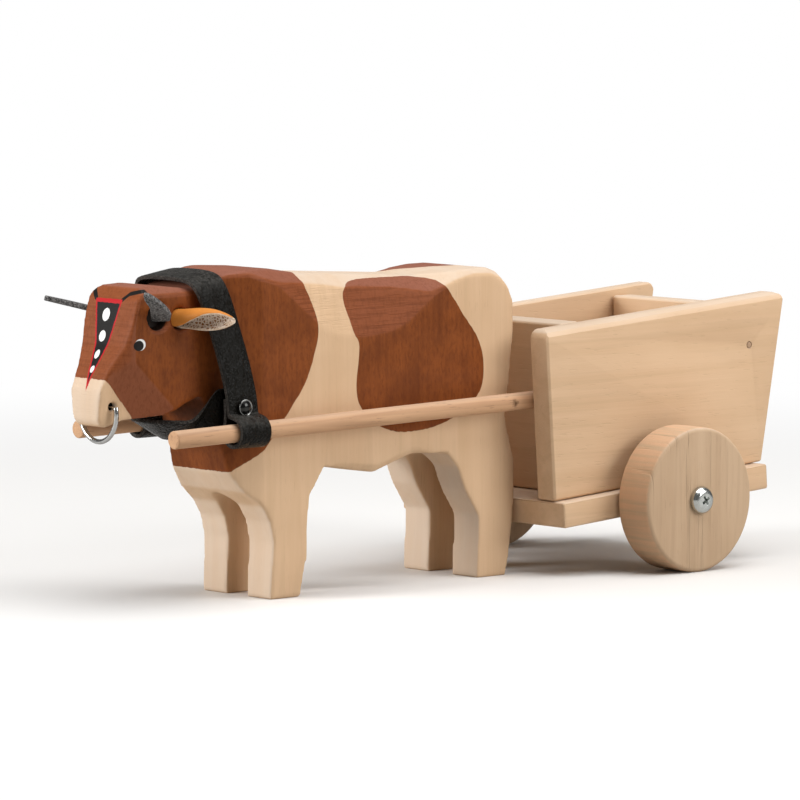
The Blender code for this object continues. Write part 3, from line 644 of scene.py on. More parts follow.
        # Painted sheen: a paler stain where the head faces forward, on its slanting facets and on top
        stain = graph.mix(cut * 0.85, stain, graph.mix(blotches * 0.6, self.stain_sheen_front, self.stain))
        for share, tint in (
                (cut * (1.0 - sawn) * 0.8, self.stain_sheen_facet), (up.fade(0.60, 0.95) * 0.8, self.stain_sheen_top),
                (flecks * (0.45 - cut * 0.20), self.stain_dark), (sawn_marks * 0.40, self.stain_dark)):
            stain = graph.mix(share, stain, tint)
        bleed = (graph.noise(drawn, self.bleed, 3.0) - 0.5) * self.bleed_reach
        cover = (graph.attribute("stain") + bleed).fade(-self.edge, self.edge)
        colour, painted = self.ornament(graph, graph.mix(cover, wood, stain), x, y, z)
        colour, painted = self.eyes(graph, colour, painted, x, y, z)
        # Painted shade inside the bores
        colour = graph.mix(graph.attribute("hollow"), colour, self.hollow)
        bare = 1.0 - painted
        fibres = height * (1.0 - painted * 0.6) * (1.0 - scooped * 0.8)
        normal = graph.bump(fibres - sawn_marks * bare * 0.5, self.relief)
        cuts = graph.noise(graph.stretch(place, (0.35, 0.35, 1.0)), self.knife, 1.0)
        normal = graph.bump(cuts, self.knife_relief, normal)
        sheen = rough * (1.0 - cover) + (streaks * 0.10 + 0.48) * cover
        return graph.finish(colour, sheen * bare + painted * self.paint_rough, self.gloss, normal=normal)

    def ornament(self, graph: Graph, under: bpy.types.NodeSocket, x: Signal, y: Signal,
                 z: Signal) -> tuple[bpy.types.NodeSocket, Signal]:
        """Paint the pointed crest on the forehead.

        Args:
            graph: The material to draw in.
            under: Colour below the paint.
            x: Place along the toy.
            y: Place across it.
            z: Height.

        Returns:
            The colour, and where there is paint.
        """
        wobble = (graph.noise(graph.place(), self.wobble) - 0.5) * self.wobble_reach
        top = (z - self.crest_left.second) * -1.0 + wobble
        left = self.side_of(y, z, self.crest_tip, self.crest_left) + wobble
        right = self.side_of(y, z, self.crest_right, self.crest_tip) + wobble
        front = x.fade(self.brow_from - self.brow_fade, self.brow_from + self.brow_fade)
        whole = top.least(left).least(right)
        heart = (top - (self.crest_top_border - self.crest_border)).least(left).least(right)
        red = whole.fade(-self.edge, self.edge) * front
        black = heart.fade(self.crest_border - self.edge, self.crest_border + self.edge) * front
        lines, *others = [self.stroke(y, z, *ends) for ends in self.strokes]
        for line in others:
            lines = lines.most(line)
        colour = under
        for share, paint in ((red, self.red), (lines * front, self.black), (red, self.red),
                             (black, self.black)):
            colour = graph.mix(share, colour, paint)
        for mark in self.ovals:
            colour = graph.mix(self.oval(y, z, mark) * black, colour, self.white)
        return colour, red.most(lines * front)

    def eyes(self, graph: Graph, under: bpy.types.NodeSocket, painted: Signal, x: Signal, y: Signal,
             z: Signal) -> tuple[bpy.types.NodeSocket, Signal]:
        """Paint an eye on each cheek: a black disc over a white one that shows as a glint.

        Args:
            graph: The material to draw in.
            under: Colour below the paint.
            painted: Where there is paint so far.
            x: Place along the toy.
            y: Place across it.
            z: Height.

        Returns:
            The colour, and where there is paint.
        """
        cheek = abs(y).fade(*self.cheek_from)
        white = self.oval(x, z, self.eye_glint) * cheek
        black = self.oval(x, z, self.eye) * cheek
        colour = graph.mix(black, graph.mix(white, under, self.white), self.black)
        return colour, painted.most(white).most(black)


class Bench:
    """Blender's modelling tools, used as hand tools on one piece at a time."""

    @staticmethod
    def hold(piece: Optional[bpy.types.Object] = None) -> None:
        """Leave only this piece selected and active, or nothing selected.

        Args:
            piece: The piece, if any.
        """
        for other in bpy.context.selected_objects:
            other.select_set(False)
        if piece is not None:
            piece.select_set(True)
            bpy.context.view_layer.objects.active = piece

    @staticmethod
    def primitive(name: str, add: Callable, **settings: object) -> bpy.types.Object:
        """Add a primitive, alone in the selection.

        Args:
            name: Its name.
            add: Blender's operator for it.
            settings: The operator's settings.

        Returns:
            The primitive.
        """
        Bench.hold()
        add(**settings)
        piece = bpy.context.active_object
        piece.name = piece.data.name = name
        return piece

    @staticmethod
    def cylinder(name: str, sides: int, radius: float, length: float, middle: Sequence[float],
                 turn: Sequence[float]) -> bpy.types.Object:
        """Add a cylinder of these measures, turned from upright."""
        return Bench.primitive(name, bpy.ops.mesh.primitive_cylinder_add, vertices=sides, radius=radius,
                               depth=length, location=middle, rotation=turn)

    @staticmethod
    @contextmanager
    def editing(piece: bpy.types.Object) -> Iterator[None]:
        """Work on one piece in edit mode, at first with all of it selected.

        Args:
            piece: The piece.

        Returns:
            A context that lasts while the piece is worked on.
        """
        Bench.hold(piece)
        bpy.ops.object.mode_set(mode="EDIT")
        bpy.ops.mesh.select_all(action="SELECT")
        yield
        bpy.ops.object.mode_set(mode="OBJECT")

    @staticmethod
    def pick(mode: str, choose: Callable[[Vector, Vector], bool]) -> None:
        """In edit mode, select only what a test chooses.

        Args:
            mode: "VERT", "EDGE" or "FACE".
            choose: Test on the middle of the element and its normal, or an edge's direction.
        """
        piece = bpy.context.active_object
        bpy.ops.mesh.select_mode(type=mode)
        bpy.ops.mesh.select_all(action="DESELECT")
        mesh = bmesh.from_edit_mesh(piece.data)
        turn = piece.matrix_world
        for thing in {"VERT": mesh.verts, "EDGE": mesh.edges, "FACE": mesh.faces}[mode]:
            if mode == "EDGE":
                start, end = (v.co for v in thing.verts)
                middle, way = (start + end) / 2, (end - start).normalized()
            else:
                middle, way = thing.co if mode == "VERT" else thing.calc_center_median(), thing.normal
            if choose(turn @ middle, turn.to_3x3() @ way):
                thing.select_set(True)
        mesh.select_flush_mode()
        bmesh.update_edit_mesh(piece.data)

    @staticmethod
    def apply(piece: bpy.types.Object, kind: str, **settings: object) -> None:
        """Add a modifier and apply it at once.

        Args:
            piece: The piece.
            kind: Blender's name of the modifier.
            settings: The modifier's settings.
        """
        Bench.hold(piece)
        step = piece.modifiers.new(kind.lower(), kind)
        for key, value in settings.items():
            setattr(step, key, value)
        bpy.ops.object.modifier_apply(modifier=step.name)

    @staticmethod
    def round_off(piece: bpy.types.Object, width: float, segments: int, angle: float) -> None:
        """Bevel the edges that are sharper than an angle in degrees."""
        Bench.apply(piece, "BEVEL", width=width, segments=segments, limit_method="ANGLE",
                    angle_limit=math.radians(angle))

    @staticmethod
    def settle(piece: bpy.types.Object, smooth_below: float) -> None:
        """Put a piece's place into its mesh, point its faces outwards and shade it.

        Args:
            piece: The piece.
            smooth_below: Degrees between faces up to which it is shaded smooth.
        """
        Bench.hold(piece)
        bpy.ops.object.transform_apply(location=True, rotation=True, scale=True)
        with Bench.editing(piece):
            bpy.ops.mesh.remove_doubles(threshold=MERGE)
            bpy.ops.mesh.normals_make_consistent(inside=False)
        bpy.ops.object.shade_smooth_by_angle(angle=math.radians(smooth_below))

    @staticmethod
    def copy_node(node: str, name: str) -> bpy.types.Object:
        """Copy a CAD node into a new piece and merge its loose triangles.

        Args:
            node: The node.
            name: The piece's name.

        Returns:
            The piece.
        """
        piece = bpy.data.objects.new(name, frame["nodes"][node].data.copy())
        piece.data.name = name
        piece.data.materials.clear()
        bpy.context.scene.collection.objects.link(piece)
        with Bench.editing(piece):
            bpy.ops.mesh.remove_doubles(threshold=MERGE)
            bpy.ops.mesh.dissolve_limited(angle_limit=math.radians(0.5))
        return piece

    @staticmethod
    def strip(name: str, first: Sequence[Vector], second: Sequence[Vector]) -> bpy.types.Object:
        """Pull a flat strip from station to station by extruding its end edge.

        Args:
            name: The piece's name.
            first: Stations of one edge.
            second: Stations of the other edge.

        Returns:
            The strip, open and without thickness.
        """
        piece = Bench.primitive(name, bpy.ops.mesh.primitive_plane_add, size=0.001)
        with Bench.editing(piece):
            mesh = bmesh.from_edit_mesh(piece.data)
            corners = list(next(iter(mesh.faces)).verts)
            for corner, where in zip(corners, (first[0], second[0], second[1], first[1])):
                corner.co = where
            bmesh.update_edit_mesh(piece.data)
            for i in range(2, len(first)):
                end = (first[i - 1] + second[i - 1]) / 2
                Bench.pick("EDGE", lambda middle, _: (middle - end).length < MERGE)
                step = (first[i] + second[i]) / 2 - end
                bpy.ops.mesh.extrude_region_move(TRANSFORM_OT_translate={"value": step})
                mesh = bmesh.from_edit_mesh(piece.data)
                for corner in (v for v in mesh.verts if v.select):
                    near = (corner.co - first[i]).length < (corner.co - second[i]).length
                    corner.co = first[i] if near else second[i]
                bmesh.update_edit_mesh(piece.data)
        return piece


def dress(piece: bpy.types.Object, *finishes: bpy.types.Material) -> None:
    """Give a piece its materials.

    Args:
        piece: The piece.
        finishes: Its materials, in the order of their slots.
    """
    piece.data.materials.clear()
    for finish in finishes:
        piece.data.materials.append(finish)


def report(piece: bpy.types.Object, body: str, *nodes: str) -> None:
    """Let a piece ride on its body in place of CAD nodes, and log it.

    Args:
        piece: The finished piece.
        body: The body it moves with.
        nodes: The CAD nodes it stands for.
    """
    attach(piece, body)
    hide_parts(*nodes)
    LOG.info("%s rides on %s, %d faces", piece.name, body, len(piece.data.polygons))


def hand_over(piece: bpy.types.Object, body: str, node: str, smooth_below: float,
              *finishes: bpy.types.Material) -> None:
    """Settle, dress and report a finished piece.

    Args:
        piece: The piece.
        body: The body it moves with.
        node: The CAD node it stands for.
        smooth_below: Degrees between faces up to which it is shaded smooth.
        finishes: Its materials, where it has none yet.
    """
    Bench.settle(piece, smooth_below)
    if finishes:
        dress(piece, *finishes)
    report(piece, body, node)


def smooth_line(points: Points, closed: bool, steps: int = 6) -> np.ndarray:
    """A curve through points.

    Args:
        points: The points it passes, in order.
        closed: Whether it comes back to its first point.
        steps: Points made between two of them.

    Returns:
        Rows of the curve's points.
    """
    base = np.array(points)
    count = len(base)
    made = []
    for i in range(count if closed else count - 1):
        a, b, c, d = (base[(i + k) % count] if closed else base[min(max(i + k, 0), count - 1)]
                      for k in (-1, 0, 1, 2))
        for t in np.linspace(0.0, 1.0, steps, endpoint=False):
            made.append(0.5 * ((2 * b) + (c - a) * t + (2 * a - 5 * b + 4 * c - d) * t * t
                               + (3 * b - a - 3 * c + d) * t ** 3))
    return np.array(made)


def depth_inside(points: np.ndarray, outline: np.ndarray) -> np.ndarray:
    """Distance of each point inside a closed outline.

    Args:
        points: Rows of points.
        outline: Rows of the outline's corners.

    Returns:
        One distance for each point, less than zero outside.
    """
    tiny = 1e-18
    away = np.full(len(points), np.inf)
    inside = np.zeros(len(points), bool)
    for a, b in zip(outline, np.roll(outline, -1, axis=0)):
        line = b - a
        share = np.clip(((points - a) @ line) / max(line @ line, tiny), 0.0, 1.0)
        away = np.minimum(away, np.hypot(*(points - a - share[:, None] * line).T))
        spans = (a[1] > points[:, 1]) != (b[1] > points[:, 1])
        if spans.any():
            cross = a[0] + (points[:, 1] - a[1]) * line[0] / (line[1] or tiny)
            inside ^= spans & (points[:, 0] < cross)
    return np.where(inside, away, -away)


@dataclass
class Bullock:
    """The carved bullock with its horns, ears and nose ring."""

    voxel: float = 0.00075
    sanding: int = 6
    # Where the stain rolls over the edge of the back, and how it slants there
    back_edge: float = 0.0155
    back_from: float = 0.097
    back_blend: float = 0.003
    near_rise: float = 0.9
    far_rise: float = 0.5
    far_limit: float = 0.0050
    stain_reach: float = 0.01
    far_patch: Points = (
        (0.0082, 0.1050), (0.0058, 0.1077), (0.0000, 0.1086), (-0.0085, 0.1120), (-0.0190, 0.1144),
        (-0.0240, 0.1110), (-0.0260, 0.1030), (-0.0255, 0.0930), (-0.0230, 0.0820), (-0.0170, 0.0730),
        (-0.0080, 0.0675), (0.0020, 0.0665), (0.0090, 0.0700), (0.0130, 0.0780), (0.0145, 0.0880),
        (0.0120, 0.0980))
    front_patch: Points = (
        (0.0635, 0.1060), (0.0628, 0.1030), (0.0613, 0.0998), (0.0588, 0.0915), (0.0593, 0.0842),
        (0.0642, 0.0718), (0.0726, 0.0612), (0.0789, 0.0539), (0.0830, 0.0497), (0.0885, 0.0463),
        (0.0938, 0.0432))
    front_end: Points = (
        (0.1000, 0.0420), (0.1200, 0.0560), (0.1291, 0.0629), (0.1407, 0.0762), (0.1600, 0.0762),
        (0.1600, 0.1400), (0.0640, 0.1400))
    rear_patch: Points = (
        (0.0441, 0.1021), (0.0376, 0.1071), (0.0216, 0.1083), (0.0085, 0.1078), (0.0014, 0.1007),
        (-0.0063, 0.0909), (-0.0132, 0.0822), (-0.0158, 0.0737), (-0.0141, 0.0639), (-0.0040, 0.0567),
        (0.0083, 0.0529), (0.0230, 0.0525), (0.0327, 0.0558), (0.0402, 0.0623), (0.0418, 0.0695),
        (0.0405, 0.0821), (0.0427, 0.0873), (0.0455, 0.0977))
    # Bores painted dark inside as shade: place along, height, radius, half the width between their bottoms
    bores: tuple[tuple[float, ...], ...] = (
        (0.1224, 0.0959, 0.0047, 0.0122), (0.1359, 0.0670, 0.0019, 0.0058))
    ring_radius: float = 0.0093
    wire: float = 0.00085
    ring_end: float = 0.0048
    ring_rise: float = 0.0004
    horn_edge: float = 0.0003
    ear_ring: int = 34
    edge_facing: float = 0.6
    root_length: float = 0.0060
    root_spread: float = 0.45

    def stain_depth(self, points: np.ndarray) -> np.ndarray:
        """Distance of each point inside the stain.

        Args:
            points: Rows of points.

        Returns:
            One distance for each point, less than zero on bare wood.
        """
        x, y, z = points.T
        high = np.clip((z - self.back_from) / self.back_blend, 0.0, 1.0)
        near_view = np.stack(
            [x, z + self.near_rise * np.maximum(self.back_edge - np.abs(y), 0.0) * high], axis=1)
        far_view = np.stack(
            [x, z + self.far_rise * np.maximum(self.back_edge + y, 0.0) * high], axis=1)
        front = depth_inside(near_view, np.vstack([smooth_line(self.front_patch, False), self.front_end]))
        near = np.where(y > 0.0, depth_inside(near_view, smooth_line(self.rear_patch, True)), -1.0)
        far = np.where(y < self.far_limit, depth_inside(far_view, smooth_line(self.far_patch, True)), -1.0)
        return np.clip(np.maximum(front, np.maximum(near, far)), -self.stain_reach, self.stain_reach)

    def carve(self) -> None:
        """Sand the CAD carving soft, and mark where it is stained and where painted shade goes inside its
        bores.
        """
        carving = Bench.copy_node("bullock", "bullock_carving")
        Bench.apply(carving, "REMESH", mode="VOXEL", voxel_size=self.voxel)
        Bench.apply(carving, "SMOOTH", factor=0.5, iterations=self.sanding)
        Bench.hold(carving)
        bpy.ops.object.shade_smooth()
        points = np.array([v.co for v in carving.data.vertices])
        x, y, z = points.T
        # Points inside the bores, where painted shade goes
        deep = np.zeros(len(points), bool)
        for along, up, radius, half in self.bores:
            deep |= (np.hypot(x - along, z - up) < radius) & (np.abs(y) < half)
        for name, values in (("stain", self.stain_depth(points)), ("hollow", deep)):
            layer = carving.data.attributes.new(name, "FLOAT", "POINT")
            layer.data.foreach_set("value", values.astype(np.float32))
        dress(carving, CarvedFinish("carved_maple", grain=Grain.UPRIGHT).material())
        report(carving, "bull", "bullock")

    def horns(self, finish: bpy.types.Material, edge: bpy.types.Material) -> None:
        """Ease the two bent leather horns.

        Args:
            finish: The leather's flat sides.
            edge: Its cut edges.
        """
        for side in Side:
            horn = Bench.copy_node("horn_" + side.word, "horn_leaf_" + side.word)
            Bench.round_off(horn, self.horn_edge, 2, 25.0)
            hand_over(horn, "bull", "horn_" + side.word, 50.0, finish, edge)

    def sort_faces(self, ear: bpy.types.Object) -> None:
        """Tell a rolled ear's outer side, inner side and cut edges apart, and widen its root.

        Args:
            ear: The ear, with a material for each.
        """
        points = np.array([v.co for v in ear.data.vertices])
        middle = points.mean(axis=0)
        line = np.linalg.svd(points - middle)[2][0]
        line = line * (1.0 if line[1] * middle[1] >= 0.0 else -1.0)
        along = (points - middle) @ line
        for face in ear.data.polygons:
            centre, normal = np.array(face.center), np.array(face.normal)
            nearest = np.argsort(np.abs(along - (centre - middle) @ line))[:self.ear_ring]
            inward = points[nearest].mean(axis=0) - centre
            inward -= line * (inward @ line)
            facing = (inward @ normal) / max(np.linalg.norm(inward), MERGE)
            face.material_index = 2 if abs(facing) < self.edge_facing else int(facing > 0.0)
        for vertex, place in zip(ear.data.vertices, along - along.min()):
            wide = 1.0 + self.root_spread * max(1.0 - place / self.root_length, 0.0)
            axis = Vector(middle + line * (place + along.min()))
            vertex.co = axis + (vertex.co - axis) * wide

    def ears(self, *finishes: bpy.types.Material) -> None:
        """Round the rolled leather ears off, with the rough side of the leather inside.

        Args:
            finishes: The outer side, the inner side and the cut edges.
        """
        for side in Side:
            ear = Bench.copy_node("ear_" + side.word, "ear_leaf_" + side.word)
            with Bench.editing(ear):
                bpy.ops.mesh.quads_convert_to_tris()
                bpy.ops.mesh.tris_convert_to_quads(face_threshold=math.radians(60),
                                                   shape_threshold=math.radians(60))
            dress(ear, *finishes)
            self.sort_faces(ear)
            Bench.apply(ear, "SUBSURF", levels=2, render_levels=2)
            hand_over(ear, "bull", "ear_" + side.word, 60.0)

    def nose_ring(self, steel: bpy.types.Material) -> None:
        """Bend the wire ring: a torus opened at the top, its ends turned in to the nostrils.

        Args:
            steel: The wire's finish.
        """
        hinge = joint_place("nose_ring_swing")
        centre = (hinge.x, 0.0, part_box("nose_ring")[0].z + self.wire + self.ring_radius)
        ring = Bench.primitive("nose_ring_wire", bpy.ops.mesh.primitive_torus_add, location=centre,
                               rotation=(0.0, math.pi / 2, 0.0), major_segments=72, minor_segments=16,
                               major_radius=self.ring_radius, minor_radius=self.wire)
        with Bench.editing(ring):
            Bench.pick("VERT", lambda where, _: where.z > hinge.z)
            bpy.ops.mesh.delete(type="VERT")
            bpy.ops.mesh.select_mode(type="EDGE")
            bpy.ops.mesh.select_all(action="DESELECT")
            bpy.ops.mesh.select_non_manifold(extend=False, use_wire=False, use_boundary=True,
                                             use_multi_face=False, use_non_contiguous=False, use_verts=False)
            bpy.ops.mesh.extrude_region_move(TRANSFORM_OT_translate={"value": (0.0, 0.0, self.ring_rise)})
            bpy.ops.transform.resize(value=(1.0, self.ring_end / self.ring_radius, 1.0),
                                     center_override=hinge)
            bpy.ops.mesh.edge_face_add()
        hand_over(ring, "nose_ring", "nose_ring", 60.0, steel)

    def build(self) -> None:
        """Make every piece of the bullock."""
        self.carve()
        self.horns(FibreFinish("horn_fibre", (0.300, 0.290, 0.280), (0.022, 0.022, 0.022), 2100.0).material(),
                   FibreFinish("horn_cut_edge", (0.03, 0.028, 0.026), (0.008, 0.008, 0.008)).material())
        self.ears(LeatherFinish("tan_grain_leather", (0.60, 0.215, 0.035), (0.48, 0.15, 0.022), 1900.0,
                                0.00005, 0.5, 0.2).material(),
                  NetFinish("tan_flesh_side", (0.92, 0.80, 0.68), (0.36, 0.17, 0.07)).material(),
                  FibreFinish("tan_cut_edge", (0.84, 0.74, 0.62), (0.60, 0.42, 0.27), 2200.0).material())
        self.nose_ring(SteelFinish("ring_wire_steel", (0.52, 0.52, 0.51), 0.15).material())


@dataclass
class Harness:
    """Leather straps: one over the neck with a loop round each shaft, one round the chest."""

    width: float = 0.0124
    thick: float = 0.0015
    loop_radius: float = 0.0040
    top_reach: float = 0.0090
    neck_slope: float = 0.16
    arch: float = 0.0002
    tail: float = 0.0030
    neck: float = 0.0140
    shoulder: float = 0.0184
    loop_steps: int = 18
    chest_radius: float = 0.0172
    chest_tilt: float = math.radians(58.0)
    chest_fall: float = 0.6
    chest_steps: int = 48
    cut_ease: float = 0.0002
    rim_ease: float = 0.00012
    # Insets that turn the stud's face, as shares of its radius and height: rim, hollow, dome
    stud_insets: Points = ((0.10, 0.0), (0.10, -0.14), (0.22, 0.30), (0.25, 0.16), (0.18, 0.04))
    stud_dome: float = 0.84

    def __post_init__(self) -> None:
        """Read the places that the CAD settles."""
        low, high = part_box("shaft_left")
        self.shaft_out = (low.y + high.y) / 2
        self.hitch = joint_place("hitch_pitch")
        stud_low, stud_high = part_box("stud_left")
        self.stud = (stud_low + stud_high) / 2
        self.stud_size = stud_high - stud_low
        self.pinch = stud_low.y - self.thick * 1.2
        self.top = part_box("neck_strap")[1].z - self.thick * 1.2
        # The strap's tops get a painted sheen
        self.leather = LeatherFinish("black_strap_leather", (0.0055, 0.0048, 0.0035), (0.012, 0.011, 0.009),
                                     top_sheen=0.9)
        self.cut_edge = FibreFinish("strap_cut_edge", (0.110, 0.100, 0.090), (0.012, 0.011, 0.010), 2600.0)

    def place(self, y: float, z: float, end: float) -> Vector:
        """A point of the neck strap: upright at the loops, curving forward up to the neck.

        Args:
            y: Distance out.
            z: Height.
            end: Half a width ahead for 0.5, behind for -0.5.

        Returns:
            The point.
        """
        rise = max((z - self.hitch.z) / (self.top - self.hitch.z), 0.0) ** 2
        ahead = end * self.width
        up = z - self.neck_slope * ahead * rise ** 2
        return Vector((self.hitch.x + self.top_reach * rise + ahead, y, up))

    def half_route(self) -> list[tuple[float, float]]:
        """Middle line of the strap in the front view, from the neck's middle round the left shaft.

        Returns:
            Distances out, each with its height.
        """
        half, neck, top, stud = self.thick / 2, self.neck, self.top, self.stud.z
        flat = stud + self.tail
        drop, outer, inner = top - flat, self.pinch + half, self.pinch - half
        route = [(0.0, top + self.arch), (neck * 0.45, top + self.arch * 0.7), (neck * 0.82, top - 0.0003),
                 (neck * 1.03, top - 0.0016), (neck * 1.15, top - drop * 0.12),
                 (neck * 1.22, top - drop * 0.25), (self.shoulder, top - drop * 0.47),
                 (self.shoulder + 0.0022, top - drop * 0.72), (outer, flat), (outer, stud - 0.0014),
                 (outer + 0.0004, stud - 0.0027)]
        mid = self.loop_radius + half
        for i in range(self.loop_steps + 1):
            turn = math.radians(72.0) - math.radians(290.0) * i / self.loop_steps
            route.append((self.shaft_out + mid * math.cos(turn), self.hitch.z + mid * math.sin(turn)))
        return route + [(inner, stud - 0.0018), (inner, stud), (inner, flat)]

    def finish_strap(self, name: str, node: str, first: Sequence[Vector], second: Sequence[Vector]) -> None:
        """Cut a strap, thicken it, ease its cut edges and round it off.

        Args:
            name: The piece's name.
            node: The CAD node it stands for.
            first: Stations of one edge.
            second: Stations of the other edge.
        """
        strap = Bench.strip(name, first, second)
        dress(strap, self.leather.material(), self.cut_edge.material())
        Bench.apply(strap, "SOLIDIFY", thickness=self.thick * 0.96, offset=0.0, use_even_offset=True,
                    material_offset_rim=1)
        Bench.round_off(strap, self.cut_ease, 2, 50.0)
        Bench.apply(strap, "SUBSURF", levels=1, render_levels=1)
        hand_over(strap, "bull", node, 60.0)

    def neck_strap(self) -> None:
        """Lead one band over the neck and round both shafts."""
        half = self.half_route()
        route = [(-y, z) for y, z in reversed(half)] + half[1:]
        edges = [[self.place(y, z, end) for y, z in route] for end in (-0.5, 0.5)]
        self.finish_strap("neck_strap_band", "neck_strap", *edges)

    def chest_strap(self) -> None:
        """Loop the second band forward under the jaw, its lower edge tucked in."""
        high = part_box("chest_strap")[1]
        radius = self.chest_radius + self.thick / 2
        start_x = self.hitch.x - self.width * 0.1
        centre_x = high.x - radius - self.thick / 2
        end_y = high.y - self.thick
        rear_top, front_top = self.stud.z + self.width / 2, self.front_top()
        path = [(start_x, end_y), ((start_x + centre_x) * 0.5, end_y + 0.0002)]
        turns = [i * math.pi / self.chest_steps for i in range(self.chest_steps + 1)]
        path += [(centre_x + radius * math.sin(turn), radius * math.cos(turn)) for turn in turns]
        path += [(x, -y) for x, y in reversed(path[:2])]
        upper, lower = [], []
        for i, (x, y) in enumerate(path):
            before, after = path[max(i - 1, 0)], path[min(i + 1, len(path) - 1)]
            line = Vector((after[0] - before[0], after[1] - before[1], 0.0)).normalized()
            reach = min(max((x - centre_x) / radius, 0.0) / self.chest_fall, 1.0)
            fallen = reach * reach * (3 - 2 * reach)
            tilt = self.chest_tilt * fallen
            down = Vector((line.y * math.sin(tilt), -line.x * math.sin(tilt), -math.cos(tilt)))
            upper.append(Vector((x, y, rear_top + (front_top - rear_top) * fallen)))
            lower.append(upper[-1] + down * self.width)
        self.finish_strap("chest_strap_band", "chest_strap", upper, lower)

    def front_top(self) -> float:
        """Find the chest strap's upper edge under the jaw on the CAD strap.

        Returns:
            Its height.
        """
        points = [v.co for v in frame["nodes"]["chest_strap"].data.vertices]
        reach = max(p.x for p in points)
        return max(p.z for p in points if p.x > reach - 0.0005)

    def studs(self) -> None:
        """Press studs: a dark dome in a rolled rim of brighter steel, a painted highlight."""
        dark = SteelFinish("stud_dome_steel", (0.04, 0.04, 0.038), 0.16).material()
        # Painted highlight: the rim is drawn in brighter steel than the dome
        bright = SteelFinish("stud_rim_highlight_steel", (0.28, 0.28, 0.27), 0.20).material()
        radius, height = self.stud_size.x / 2, self.stud_size.y
        for side in Side:
            out = side.value
            middle = (self.stud.x, out * (self.stud.y - height * 0.20), self.stud.z)
            stud = Bench.cylinder("stud_cap_" + side.word, 48, radius, height * 0.6, middle,
                                  (-out * math.pi / 2, 0.0, 0.0))
            with Bench.editing(stud):
                Bench.pick("FACE", lambda _, normal: normal.y * out > 0.9)
                for inset, rise in self.stud_insets:
                    bpy.ops.mesh.inset(thickness=radius * inset, depth=height * rise)
            Bench.round_off(stud, self.rim_ease, 3, 30.0)
            hand_over(stud, "bull", "stud_" + side.word, 60.0, bright, dark)
            for face in stud.data.polygons:
                off = math.hypot(face.center.x - self.stud.x, face.center.z - self.stud.z)
                face.material_index = int(off < radius * self.stud_dome)

    def build(self) -> None:
        """Make every piece of the harness."""
        self.neck_strap()
        self.chest_strap()
        self.studs()


